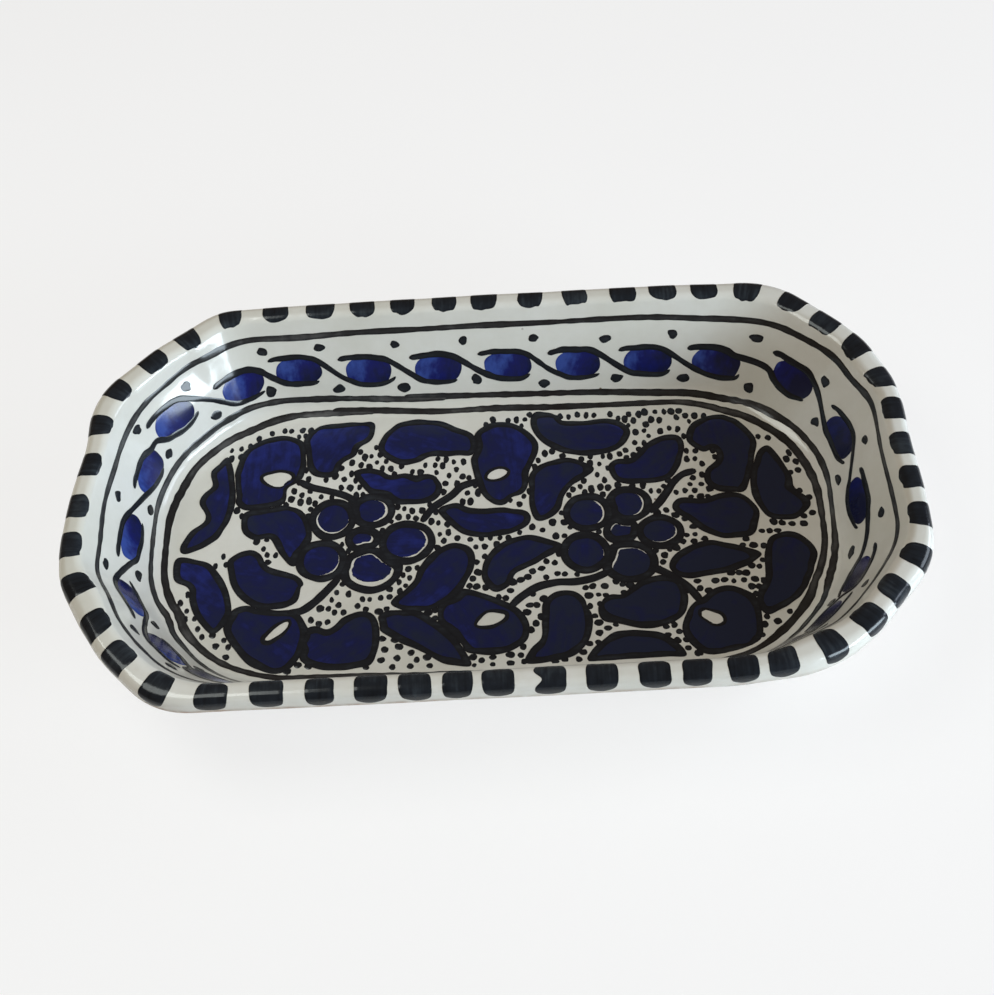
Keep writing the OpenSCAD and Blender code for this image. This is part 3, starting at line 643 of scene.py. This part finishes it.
def build_glaze():
    n = AROUND
    share = np.arange(n) / n
    d = fine_runs(1.3)
    # the floor closes in rings towards the middle
    scale = np.linspace(0, 1, FLOOR_RINGS + 1)[1:-1]
    ring = np.c_[around(FLAT, share)]
    floor = np.vstack([on_floor(ring * k, 0.0) for k in scale])
    outer = rings(d, share)
    middle = on_floor(np.zeros((1, 2)), np.zeros(1))
    low_d = np.r_[d[:-1:3], d[-1]]
    inner = rings(low_d[::-1], share, -GLAZE_T)
    plug = on_floor(np.zeros((1, 2)), np.full(1, -GLAZE_T))
    verts = np.vstack([middle, floor, outer, inner, plug])
    rows = len(scale) + len(d) + len(low_d)
    last = 1 + (rows - 1) * n
    faces = [[0, 1 + k, 1 + (k + 1) % n] for k in range(n)] + sides(1, rows, n)
    faces += [[last + (k + 1) % n, last + k, len(verts) - 1] for k in range(n)]
    # thin spots come and go along the lower edge of the lip and beside the foot ring
    thin = np.zeros(len(verts))
    edge = np.exp(-(((d - LIP_UNDER + 0.95) / 0.75) ** 2)) + 0.8 * np.exp(-(((d - SKIN_END) / 1.2) ** 2))
    turn = ripple(np.random.default_rng(21), 9)(TAU * share)
    first = 1 + len(floor)
    thin[first:first + len(outer)] = np.outer(edge, np.clip(0.75 + 0.5 * turn, 0.15, 1)).ravel()
    make("glaze_shell", verts, faces, "glaze_coat", glaze, {"thin": thin})


def build_clay():
    n = AROUND // 2
    share = np.arange(n) / n
    d = np.r_[fine_runs(4)[:-1:2], SKIN_END]
    under_glaze = GLAZE_T + CLAY_ROOM
    skin = rings(d, share, -under_glaze)
    top, low = FLOOR_Z - under_glaze, BASE_Z + GLAZE_T
    ring = np.c_[np.c_[around(FOOT_INSET + FOOT_W / 2, share)], np.full(n, low)]
    base = [ring * [k, k, 1] for k in (1, 0.75, 0.5, 0.25)]
    verts = np.vstack([skin, *base, [[0, 0, top], [0, 0, low]]])
    rows = len(d) + len(base)
    last = (rows - 1) * n
    faces = sides(0, rows, n)
    faces += [[len(verts) - 2, k, (k + 1) % n] for k in range(n)]
    faces += [[len(verts) - 1, last + (k + 1) % n, last + k] for k in range(n)]
    make("clay_shell", verts, faces, "clay_body", clay)


def build_foot():
    n = AROUND
    share = np.arange(n) / n
    r, top = FOOT_R, BASE_Z + GLAZE_T
    w = np.radians(np.linspace(0, 90, 7))
    section = np.vstack([
        [[0, top], [0, r]], np.c_[r - r * np.cos(w), r - r * np.sin(w)],
        np.c_[FOOT_W - r + r * np.sin(w), r - r * np.cos(w)], [[FOOT_W, top]]])
    wear = field(31, 7, 6, 40, 3)
    out = []
    for i, z in section:
        x, y = around(FOOT_INSET + i, share)
        p = np.c_[x, y, np.full(n, z)]
        deep = 0.06 * (1 + wave(p)) + 0.03 * (1 + wear(p))
        if 0.05 < z < top - 0.05:
            x, y = around(FOOT_INSET + i + (deep if i < FOOT_W / 2 else -deep), share)
        out.append(np.c_[x, y, np.full(n, z)])
    m = len(section)
    faces = sides(0, m, n)
    faces += [[k, (k + 1) % n, (m - 1) * n + (k + 1) % n, (m - 1) * n + k] for k in range(n)]
    make("foot_turned", np.vstack(out), faces, "foot_ring", clay)


build_glaze()
build_clay()
build_foot()

# Painting on the lip and the wall


def oval(a, b, power, n, pick, rough):
    """A rough oval, squarer than an ellipse where power is over 2."""
    w = np.arange(n) * TAU / n
    c, s = np.cos(w), np.sin(w)
    v = np.c_[a * np.sign(c) * np.abs(c) ** (2 / power), b * np.sign(s) * np.abs(s) ** (2 / power)]
    return v * (1 + rough * ripple(pick, 6, 2)(w))[:, None]


# How far the edge of paint on the wall stands off the glaze, in mm
LOW = 0.03


def towards_right(place):
    """0 at the far left of the dish and 1 at its right-hand and near end."""
    return np.clip((place[0] - 0.9 * place[1] + 15) / 90, 0, 1)


def painted_shade(place):
    """Painted shade: how much darker the colour is made towards the right-hand and the near end, where the
    dish lies in shade.
    """
    return 0.5 * towards_right(place)


# The painter set the marks by eye: every third one stands at these shares of the way round.
MARKS = 49
MARK_COUNTS = [*range(0, MARKS, 3), MARKS]
MARK_SHARES = [
    0.005, 0.063, 0.121, 0.182, 0.250, 0.310, 0.375, 0.439, 0.508,
    0.571, 0.633, 0.698, 0.751, 0.815, 0.870, 0.927, 0.985, 1.005]
MARK_HALF = 3.7
WORN_MARK = 37
MARK_LOW, MARK_HIGH = WALL_TOP + 0.3, LIP_EDGE + 1.6


def mark_loop(pick):
    """A short brush mark: a ragged inner end, straight sides and a round outer end."""
    a, half = MARK_HALF * pick.uniform(0.92, 1.08), (MARK_HIGH - MARK_LOW) / 2
    end = np.linspace(-0.8, 0.8, 6) * a
    ragged = pick.normal(0, 0.09, 6) + 0.05 * pick.normal() * end + pick.uniform(0.4, 1.4) * (end / a) ** 2
    side = np.array([(a, 2.2 - half), (a, 0), (0.96 * a, half - 2.6), (0.7 * a, half - 0.8)])
    loop = np.vstack([np.c_[end, ragged - half], side, [(0, half)], (side * [-1, 1])[::-1]])
    loop[:, 0] += pick.normal(0, 0.05) * loop[:, 1]
    return smooth(loop + pick.normal(0, 0.06, loop.shape), 0.35)


def build_marks():
    paint = Paint(101)
    pick = paint.pick
    middle = (MARK_LOW + MARK_HIGH) / 2
    path = track(middle)
    for k in range(MARKS):
        share = np.interp(k, MARK_COUNTS, MARK_SHARES) + pick.normal(0, 0.0006)
        loop = mark_loop(pick)
        if k == WORN_MARK:
            # one mark of the near side is rubbed away on its left
            loop[:, 0] -= 2.2 * np.exp(-(((loop[:, 1] + 0.3) / 1.5) ** 2)) * (loop[:, 0] > 0)
        base = pick.uniform(0.5, 0.75)
        wall = on_wall(share, middle + pick.normal(0, 0.12), path)
        paint.pad([loop], wall, 0.09, 0.55, LOW, grain=math.pi / 2, tone=lambda p: base + 0.05 * p[:, 1])
    paint.finish("rim_marks", "black_enamel", mark_black)


# How far the end of a line laps over its start
LAP = 12.0


def build_line(name, d, width, begin, wander, seed):
    """A line painted in one go round the dish, whose end laps over its start."""
    paint = Paint(seed)
    pick = paint.pick
    shares, lengths = path = track(d)
    n = 1100
    x = np.linspace(0, lengths[-1] + LAP, n)
    w = TAU * x / lengths[-1]
    share = np.interp((np.interp(begin, shares, lengths) - x) % lengths[-1], lengths, shares)
    apart = 0.45 * np.exp(-x / 14) - 0.45 * np.exp((x - x[-1]) / 14)
    y = bumps(share, wander) + 0.12 * ripple(pick, 14, 6)(w) + apart
    broad = width * (1 + 0.12 * ripple(pick, 40, 4)(w) + 0.06 * ripple(pick, 90, 60)(w))
    broad *= np.interp(x, [0, 0.8, 3, x[-1] - 10, x[-1] - 0.6, x[-1]], [0.45, 0.9, 1, 1, 0.6, 0.15])
    tone = 0.55 + 0.2 * ripple(pick, 12, 2)(w) - 0.3 * np.exp((x - x[-1]) / 25)
    paint.stroke(np.c_[x, y], broad, on_wall(begin, d, path), 0.07, LOW, tone)
    paint.finish(name, "black_enamel", line_black)


def build_lines():
    build_line("upper_line", UPPER_LINE, 1.8, 0.72, UPPER_WANDER, 111)
    build_line("outer_floor_line", OUTER_LINE, 1.9, 0.293, OUTER_WANDER, 112)
    build_line("inner_floor_line", INNER_LINE, 1.9, 0.33, INNER_WANDER, 113)


# Beads counted off like the marks, some higher on the wall than others, and the points and widths of
# the stroke from each to the next: over the bead, between the two, and under the next one
BEADS = 27
BEAD_COUNTS = [0, 2, 8, 9, 10, 14, 25, 26, BEADS]
BEAD_SHARES = [0.032, 0.134, 0.345, 0.378, 0.425, 0.587, 0.945, 0.994, 1.032]
BEAD_RISE = {1: 1.4, 2: -2.0, 3: -1.3, 4: -1.1, 7: 0.2, 8: 1.3, 10: 2.8, 11: -1.2, 13: 0.8, 14: 0.9}
BEAD_HALF_LEN, BEAD_HALF_H = 6.7, 4.4
OVER = np.array([(-8.4, 3.9), (-6.3, 4.3), (-3.6, 4.4), (0, 4.4), (2.8, 4.1), (5.8, 3.0)])
UNDER_NEXT = np.array([
    (-8.3, -0.9), (-5, -3.0), (-2.5, -3.9), (1, -4.2), (4.2, -3.9), (6.6, -2.9), (8, -1.4)])
SWEEP_W = np.array([1.5, 1.8, 1.9, 1.9, 1.9, 1.8, 1.7, 1.75, 1.85, 1.8, 1.7, 1.5, 0.9])


def build_border():
    beads, strokes, dabs = Paint(121), Paint(122), Paint(123)
    path = track(BORDER)
    share_of = [np.interp(k, BEAD_COUNTS, BEAD_SHARES) for k in range(BEADS)]
    at = np.interp(share_of, *path)
    for k in range(BEADS):
        rise = BEAD_RISE.get(k, -0.3)
        slip = BEAD_RISE.get((k - 1) % BEADS, -0.3) - rise
        gap = (at[k] - at[k - 1]) % path[1][-1]
        wall = on_wall(share_of[k], BORDER + rise, path)
        pick = beads.pick
        half_len, half_h = BEAD_HALF_LEN * pick.uniform(0.92, 1.06), BEAD_HALF_H * pick.uniform(0.94, 1.08)
        loop = oval(half_len, half_h, 2.25, 60, pick, 0.02)
        step = pick.uniform(-1.6, 1.0)
        # painted shade: the beads' tone is made darker towards the right-hand and near end of the dish
        shade = 0.4 + painted_shade(wall(np.zeros((1, 2)), 0)[0])
        beads.pad([smooth(loop, 0.5)], wall, 0.06, 0.6, LOW, 0.8, pick.normal(1.45, 0.15), lambda p: (
            shade + 0.14 / (1 + np.exp(-(p[:, 0] - step) / 0.3)) + 0.045 * p[:, 0] - 0.03 * p[:, 1]))
        pick = strokes.pick
        points = np.vstack([OVER, UNDER_NEXT + [gap, slip]])
        points += pick.normal(0, 0.14, points.shape)
        curve = smooth(points, 0.45, closed=False)
        curve = curve[:int(len(curve) * pick.uniform(0.88, 1.0))]
        run = runs(curve)
        t = run / run[-1]
        sweep = SWEEP_W * pick.uniform(0.9, 1.12)
        width = np.interp(t * (len(sweep) - 1), np.arange(len(sweep)), sweep)
        width = width * (1 + 0.06 * ripple(pick, 9, 3)(t * TAU))
        width *= np.sqrt(np.clip(run / 0.9, 0.1, 1)) * np.sqrt(np.clip((run[-1] - run) / 0.8, 0.1, 1))
        strokes.stroke(curve, width, wall, 0.11, 0.06, np.interp(t, [0, 0.6, 1], [0.7, 0.6, 0.45]))
        pick = dabs.pick
        for x, y, size in ((0.38 * gap, 7.8, 1.0), (0.52 * gap, -5.4, 1.15)):
            loop = dab_loop(pick, 1.6 * size) + [x, y + 0.5 * slip] + pick.normal(0, 0.4, 2)
            dabs.pad([loop], wall, 0.08, 0.5, LOW)
    beads.finish("border_beads", "blue_enamel", bead_blue)
    strokes.finish("border_strokes", "black_enamel", brush_black)
    dabs.finish("border_dabs", "black_enamel", brush_black)


def dab_loop(pick, size):
    """A touch of the brush: a round blob drawn out to one side."""
    w = np.arange(9) * TAU / 9
    tail = np.exp(2.2 * (np.cos(w) - 1))
    r = size * (0.82 + 0.6 * tail - 0.3 * np.roll(tail, pick.integers(3, 7))) * (1 + pick.normal(0, 0.1, 9))
    turn = pick.uniform(0, TAU)
    bend = 0.5 * tail * pick.choice([-1, 1])
    return smooth(np.c_[r * np.cos(w + turn + bend), 0.85 * r * np.sin(w + turn + bend)], 0.3)


# Painting on the floor, on the patches of the CAD, with the wander of a hand-held brush

FLOOR_SHRINK = 0.988
# How far a brush strays from its line, and how far the drawing is let down at the near side
STRAY = 0.12
NEAR_DROP, NEAR_FROM, NEAR_OVER = 1.2, -25, 14
drift_x, drift_y = field(41, 10, 6, 18), field(43, 10, 6, 18)
press = field(47, 10, 4, 14)
# Lobes and notches of single leaves: place on the floor, how far along the edge it spreads, and how far
# out it goes
LOBES = [
    (-78.6, 20.6, 2.2, -1.1), (-80.6, 9.3, 3, -1.9), (-54.5, 16.5, 3.5, -3), (-36.2, 35.3, 3, 1.3),
    (-22, 19.3, 3, 1.3), (-14.3, 19.5, 3, -1.2), (-50.5, -15.5, 3, -1.8), (-85.5, -10, 3, 0.9),
    (-64, -37.8, 4, 1.2), (-57, -37.5, 4, 1.6), (-48, -29.5, 3, 2.2), (-18, -20.5, 4, 1.2),
    (6, 10, 2.5, -1.5), (81.8, 10, 2.5, -1.6), (85, 5, 3, 1.5), (70.5, -23, 3, 1.5), (48.5, -11, 3, 1),
    (25.8, -24.5, 2, -1.5), (28.5, -28.5, 3, 1.5), (33, -21.5, 2, -1), (53, -28.3, 2, 1.2),
    (19.5, 40.2, 2, -1.3), (13.6, 40.6, 2, 0.9), (-51.3, 40.3, 3, -1.6), (63.5, -37.8, 4, 1.3)]
# Petals: middle on the floor, how far the colour lies beside it, and how far it reaches under the outline
PETALS = [
    ((-44.5, 7), (0.3, 0.5), 0.2), ((-33.5, 9.5), (-0.7, 0), 0.3), ((-36, 0), (-0.5, 0.4), 0.2),
    ((-24, -1), (-0.5, 0.3), 0.3), ((-47.5, -6.5), (-0.3, 0.4), 0.4), ((-34, -11), (0.1, 0.7), -0.5),
    ((25, 5), (-0.7, -0.1), 0.4), ((37, 8), (-0.6, 0.1), 0.4), ((34.5, -1.5), (0.2, -0.3), 0.4),
    ((44, -1.5), (-0.3, 0.4), 0.4), ((24, -7.5), (0, 0), 0.5), ((35, -11.5), (0.4, -0.5), 0.4)]
# Ground that the painter left without dots, as middles and radii, and single dots that stand where the
# pattern of the CAD has none
BARE = [(-83, 13, 5), (-72, 3, 5.5), (-66, 3, 4), (-33, 37, 7), (-6, 40, 6), (-50.5, -17, 3.2)]
SINGLE_DOTS = [
    (-55.3, 17.2), (-53, 15.6), (-50.8, 17), (-56, 14.4), (-53.4, 13.2), (-51, 13.6), (-57.4, 12.6),
    (-46.5, 20.6), (-44, 21.8), (-41.4, 20.4), (-39.4, 22.2), (-42.4, 24.3), (-74, 32.7), (-71.2, 33),
    (-71.2, 30.2), (-68.7, 34), (-66.3, 36.4), (-62.6, 38.2), (-59, 38.9), (-84, -18), (-82, -20.5),
    (-79.7, -23), (-82.2, -23.2), (-78.6, -26.3), (-77.3, -28.8), (-73.5, -31.8), (-70.7, -35.5),
    (77.9, 27.4), (78.6, 29), (83, 28.6), (83, 25.1), (83, 21.8), (82, 19.6), (84.6, 18.6),
    (84.7, 15.6), (84, 8.6), (86.2, 6.2), (86.3, 3.8), (86.4, 1), (69.8, -31), (72.5, -32.5),
    (76, -29.8), (68, -36.5), (-30, -32), (-26.5, -32.3), (-29.2, -35.3), (-25.5, -34.6),
    (-30.2, -38.4), (-26, -38), (-22.4, -36.6), (-21, -38.8), (-34, -40.4), (-30, -40.6),
    (-27.2, -40.6), (-22.6, -40.6), (-17.6, -40.6), (-6.5, -38.8), (-4.3, -39.8), (-1.4, -39),
    (3.2, -38.6), (5.8, -38.8), (-6.2, -41.4), (-1.5, -41.4), (3.2, -41.4), (14, -41), (17, -40.9),
    (20, -37.4), (21.8, -38.9), (20.6, -41.2), (24.5, -31.5), (26.4, -33.5), (45.8, -32), (24, -33.4)]
DRAWING_TURN, DRAWING_SHIFT = math.radians(-1.5), 0.5
SHEET_LEN, SHEET_W = 88.65, 41.3
STEMS = [
    [(-55.5, 18.5), (-52, 16.6), (-47, 15), (-42.5, 13.2), (-39.5, 11)],
    [(-20, 4), (-17, 8.5), (-12, 12.4), (-9, 15.4), (-5, 17.2)],
    [(-43, -15), (-46, -18.6), (-49, -22.2), (-52.5, -24.6), (-55.6, -25.2)],
    [(57, 18.6), (53.5, 17.3), (51, 14.8), (49, 11.4), (46.5, 7.8), (44, 5)],
    [(32, -14.5), (27, -16.6), (21.5, -17.8), (16.5, -17.9), (11.5, -19.2), (8, -21.6), (4.5, -25)],
    [(43, -13.5), (48.5, -16.8), (52.5, -20.5), (55.5, -25)]]


def on_sheet(points):
    """The place on the floor of points of the drawing, as the CAD puts them."""
    x, y = np.array(points, float).T
    c, s = math.cos(DRAWING_TURN), math.sin(DRAWING_TURN)
    long, wide = (HALF_LEN - FLAT) / SHEET_LEN, (HALF_W - FLAT) / SHEET_W
    return np.c_[(c * x - s * y) * long, (s * x + c * y) * wide + DRAWING_SHIFT] * FLOOR_SHRINK


def lower_near(points):
    """The drawing reaches a little further down at the near side."""
    drop = NEAR_DROP * np.clip((NEAR_FROM - points[:, 1]) / NEAR_OVER, 0, 1)
    return points - np.c_[np.zeros(len(points)), drop]


def drawn(loop, out=0.0):
    """A loop of the CAD as a brush would draw it. Out moves it outwards."""
    loop = loop[np.linalg.norm(loop - np.roll(loop, 1, 0), axis=1) > 0.05] * FLOOR_SHRINK
    v = smooth(loop, 0.5)
    out = np.broadcast_to(out(v) if callable(out) else out, len(v))
    for x, y, spread, far in LOBES:
        out = out + far * np.exp(-(((v - [x, y]) ** 2).sum(1) / spread**2))
    v = v + outward(v) * out[:, None]
    return lower_near(v + STRAY * np.c_[drift_x(v), drift_y(v)])


def fill_in(paint, edges):
    """A field of colour, brushed along its length."""
    pick = paint.pick
    middle = edges[0].mean(0)
    spread = edges[0] - middle
    axis = np.linalg.eigh(spread.T @ spread)[1][:, 1]
    grain = math.atan2(axis[1], axis[0]) + pick.normal(0, 0.25)
    # painted shade: each field of colour is made darker towards the right-hand and near end of the dish
    base, way = pick.uniform(0.42, 0.62) + painted_shade(middle), pick.uniform(0, TAU)
    slope = 0.018 * np.array([math.cos(way), math.sin(way)])
    paint.pad(edges, on_floor, 0.05, 0.8, grain=grain, tone=lambda p: base + (p - middle) @ slope)


UNDER_OUTLINE = 0.8


def build_colours():
    leaves, petals = Paint(131), Paint(132)
    for loops in patches("leaf_colour"):
        fill_in(leaves, [drawn(loops[0], UNDER_OUTLINE)] + [drawn(v, -UNDER_OUTLINE) for v in loops[1:]])
    holes = [v for loops in patches("petal_outlines") for v in loops[1:]]
    for middle, beside, under in PETALS:
        loop = min(holes, key=lambda v: np.linalg.norm(v.mean(0) * FLOOR_SHRINK - middle))
        fill_in(petals, [drawn(loop, under) + beside])
    leaves.finish("leaf_colour", "blue_enamel", leaf_blue)
    petals.finish("petal_colour", "blue_enamel", leaf_blue)


LEAF_GROW, PETAL_GROW = 0.2, 0.6
# How much the press of the brush moves the outer and the inner edges of an outline
PRESS_OUTER, PRESS_INNER = 0.12, 0.15


def build_outlines():
    """Outlines of leaves and petals. Gives their outer loops."""
    found = []
    for name, seed, grow in (("leaf_outlines", 133, LEAF_GROW), ("petal_outlines", 134, PETAL_GROW)):
        paint = Paint(seed)
        for loops in patches(name):
            edges = [drawn(loops[0], lambda v: grow + PRESS_OUTER * press(v))]
            edges += [drawn(v, lambda p: PRESS_INNER * press(p + 40)) for v in loops[1:]]
            paint.pad(edges, on_floor, 0.1, 0.6, low=0.06, roll=0.7)
            found.append(edges[0])
        paint.finish(name, "black_enamel", brush_black)
    return found


STEM_W = 2.35


def build_stems():
    paint = Paint(135)
    for points in STEMS:
        curve = smooth(on_sheet(points), 0.5, closed=False)
        curve = np.vstack([3 * curve[0] - 2 * curve[1], curve, 3 * curve[-1] - 2 * curve[-2]])
        curve += STRAY * np.c_[drift_x(curve), drift_y(curve)]
        t = runs(curve) / runs(curve)[-1]
        width = STEM_W * np.interp(t, [0, 0.03, 0.12, 0.88, 0.97, 1], [0.4, 0.8, 1, 1, 0.8, 0.4])
        paint.stroke(curve, width * (1 + 0.08 * press(curve)), on_floor, 0.11, low=0.05)
    paint.finish("stem_strokes", "black_enamel", brush_black)


DOT_R = 0.92
DOT_ROOM = 1.85
# How near to dotted ground an outline gets dots of its own, and how many of the places for them are taken
DOTTED_NEAR, DOTTED_SHARE = 3.4, 0.75


def is_hidden(spot, outlines):
    """Whether a dot would lie under a leaf or petal."""
    return any(inside(spot[None], v, np.roll(v, -1, 0))[0] for v in outlines)


def is_crowded(spot, dots):
    """Whether a dot would touch another."""
    return np.hypot(*((np.array(dots) - spot) * [1, 0.8]).T).min() < DOT_ROOM


def all_dots(pick, outlines):
    """Dots of the CAD, a little astray, and more where dotted ground meets an outline."""
    dots = np.array([loops[0].mean(0) for loops in patches("floor_dots")]) * FLOOR_SHRINK
    for x, y, r in BARE:
        dots = dots[np.linalg.norm(dots - [x, y], axis=1) > r]
    dots = dots + pick.normal(0, 0.35, dots.shape)
    kept = [np.array(SINGLE_DOTS[0])]
    for spot in [*SINGLE_DOTS, *dots]:
        if not is_crowded(spot, kept) and not is_hidden(np.array(spot), outlines):
            kept.append(np.array(spot))
    ground = np.array(kept)
    for loop in outlines:
        edge = loop[::5]
        for spot in edge + outward(loop)[::5] * pick.uniform(0.1, 0.75, (len(edge), 1)):
            if np.linalg.norm(ground - spot, axis=1).min() >= DOTTED_NEAR:
                continue
            if pick.uniform() >= DOTTED_SHARE:
                continue
            if not is_crowded(spot, kept) and not is_hidden(spot, outlines):
                kept.append(spot)
    return kept


def build_dots(outlines):
    paint = Paint(136)
    pick = paint.pick
    n = 8
    for middle in all_dots(pick, outlines):
        w = np.arange(n) * TAU / n + pick.uniform(0, 1)
        r = DOT_R * pick.uniform(0.85, 1.18) * (1 + pick.normal(0, 0.07, n))
        # dots are tall on the far side and rounder on the near and right-hand one
        flat = np.clip((0.35 * middle[0] - middle[1] + 5) / 25, 0, 1)
        tall = pick.uniform(1.15, 1.5) * (1 - 0.15 * flat)
        broad = pick.uniform(0.9, 1.1) * (1 + 0.18 * flat)
        loop = np.c_[r * np.cos(w) * broad, r * np.sin(w) * tall]
        tone = pick.uniform(0.4, 0.8)
        paint.pad([smooth(loop, 0.35) + middle], on_floor, 0.08, 0.5, tone=lambda p: np.full(len(p), tone))
    paint.finish("floor_dots", "black_enamel", brush_black)


build_marks()
build_lines()
build_border()
build_colours()
leaf_loops = build_outlines()
build_stems()
build_dots(leaf_loops)

# Table, light and camera


def build_stage():
    mesh = bpy.data.meshes.new("table")
    size = 3.0
    corner_ways = ((-1, -1), (1, -1), (1, 1), (-1, 1))
    mesh.from_pydata([(x * size, y * size, 0) for x, y in corner_ways], [], [(0, 1, 2, 3)])
    s = Shader("table_white", 0.9)
    shade = s.noise(s.place(), 6, 2)
    s.set(Base_Color=s.ramp(shade, (0.3, (0.93, 0.93, 0.93)), (0.7, (0.95, 0.95, 0.95))))
    # a sheet of paper that looks white to the camera, with a little of its shadows near the dish
    white = s.node("ShaderNodeEmission", {"Strength": 0.98})
    far = s.node("ShaderNodeVectorMath", {0: s.place()}, operation="LENGTH").outputs["Value"]
    seen = s.node("ShaderNodeLightPath").outputs["Is Camera Ray"]
    seen = s.math("MULTIPLY", seen, s.span(far, 0.4, 0.9, 0.75, 1.0))
    both = s.node("ShaderNodeMixShader", {0: seen, 1: s.out.outputs[0], 2: white.outputs[0]})
    s.put(s.tree.nodes["Material Output"].inputs["Surface"], both.outputs[0])
    mesh.materials.append(s.mat)
    table = bpy.data.objects.new("table", mesh)
    bpy.context.scene.collection.objects.link(table)


def area_light(name, azimuth, elevation, distance, size, power, colour):
    """A soft light at angles and a distance in metres from the origin, turned towards it."""
    data = bpy.data.lights.new(name, "AREA")
    data.shape = "RECTANGLE"
    data.size, data.size_y = size
    data.energy = power
    data.color = colour
    light = bpy.data.objects.new(name, data)
    a, e = math.radians(azimuth), math.radians(elevation)
    place = Vector((math.cos(a) * math.cos(e), math.sin(a) * math.cos(e), math.sin(e))) * distance
    light.location = place
    light.rotation_euler = (-place).to_track_quat("-Z", "Y").to_euler()
    bpy.context.scene.collection.objects.link(light)


def build_light():
    area_light("window_low", -30, 16, 0.9, (0.5, 0.3), 7.2, (0.76, 0.9, 1.0))
    area_light("window_side", 10, 22, 0.9, (0.5, 0.3), 2.8, (0.77, 0.87, 1.0))
    area_light("lamp_left", 180, 62, 0.5, (0.25, 0.25), 0.95, (0.94, 1.0, 0.96))
    world = bpy.data.worlds.new("room")
    world.use_nodes = True
    tree = world.node_tree
    room = tree.nodes["Background"]
    room.inputs["Color"].default_value = (1.0, 0.62, 0.34, 1)
    room.inputs["Strength"].default_value = 0.145
    # the camera sees a white backdrop past the edge of the table, and the dish a warm room
    white = tree.nodes.new("ShaderNodeBackground")
    white.inputs["Color"].default_value = (0.98, 0.98, 0.98, 1)
    choose = tree.nodes.new("ShaderNodeMixShader")
    tree.links.new(tree.nodes.new("ShaderNodeLightPath").outputs["Is Camera Ray"], choose.inputs["Fac"])
    tree.links.new(room.outputs["Background"], choose.inputs[1])
    tree.links.new(white.outputs["Background"], choose.inputs[2])
    tree.links.new(choose.outputs["Shader"], tree.nodes["World Output"].inputs["Surface"])
    bpy.context.scene.world = world
    bpy.context.scene.view_settings.view_transform = "Standard"


PICTURE_H = 995
SENSOR = 36


def build_camera(azimuth, elevation, roll, focal, distance, u, v):
    """Camera that shows the middle of the rim u, v pixels from the middle of the picture.

    Angles are in degrees, focal in pixels and distance in mm.
    """
    az, el, ro = (math.radians(w) for w in (azimuth, elevation, roll))
    ahead = np.array([-math.sin(az) * math.cos(el), math.cos(az) * math.cos(el), -math.sin(el)])
    right = np.array([math.cos(az), math.sin(az), 0.0])
    down = np.cross(ahead, right)
    right, down = math.cos(ro) * right + math.sin(ro) * down, math.cos(ro) * down - math.sin(ro) * right
    place = -distance * (u / focal * right + v / focal * down + ahead) + [0, 0, RIM_Z]
    data = bpy.data.cameras.new("camera")
    data.sensor_width = SENSOR
    data.lens = focal / PICTURE_H * SENSOR
    data.clip_start = 0.01
    camera = bpy.data.objects.new("camera", data)
    turn = np.c_[right, -down, -ahead]
    camera.matrix_world = Matrix.Translation(Vector(place * MM)) @ Matrix(turn.tolist()).to_4x4()
    bpy.context.scene.collection.objects.link(camera)
    bpy.context.scene.camera = camera


build_stage()
build_light()
build_camera(
    azimuth=1.99, elevation=53.95, roll=4.54, focal=1514.7, distance=389.0, u=-8.2, v=-26.7)

bpy.context.view_layer.update()
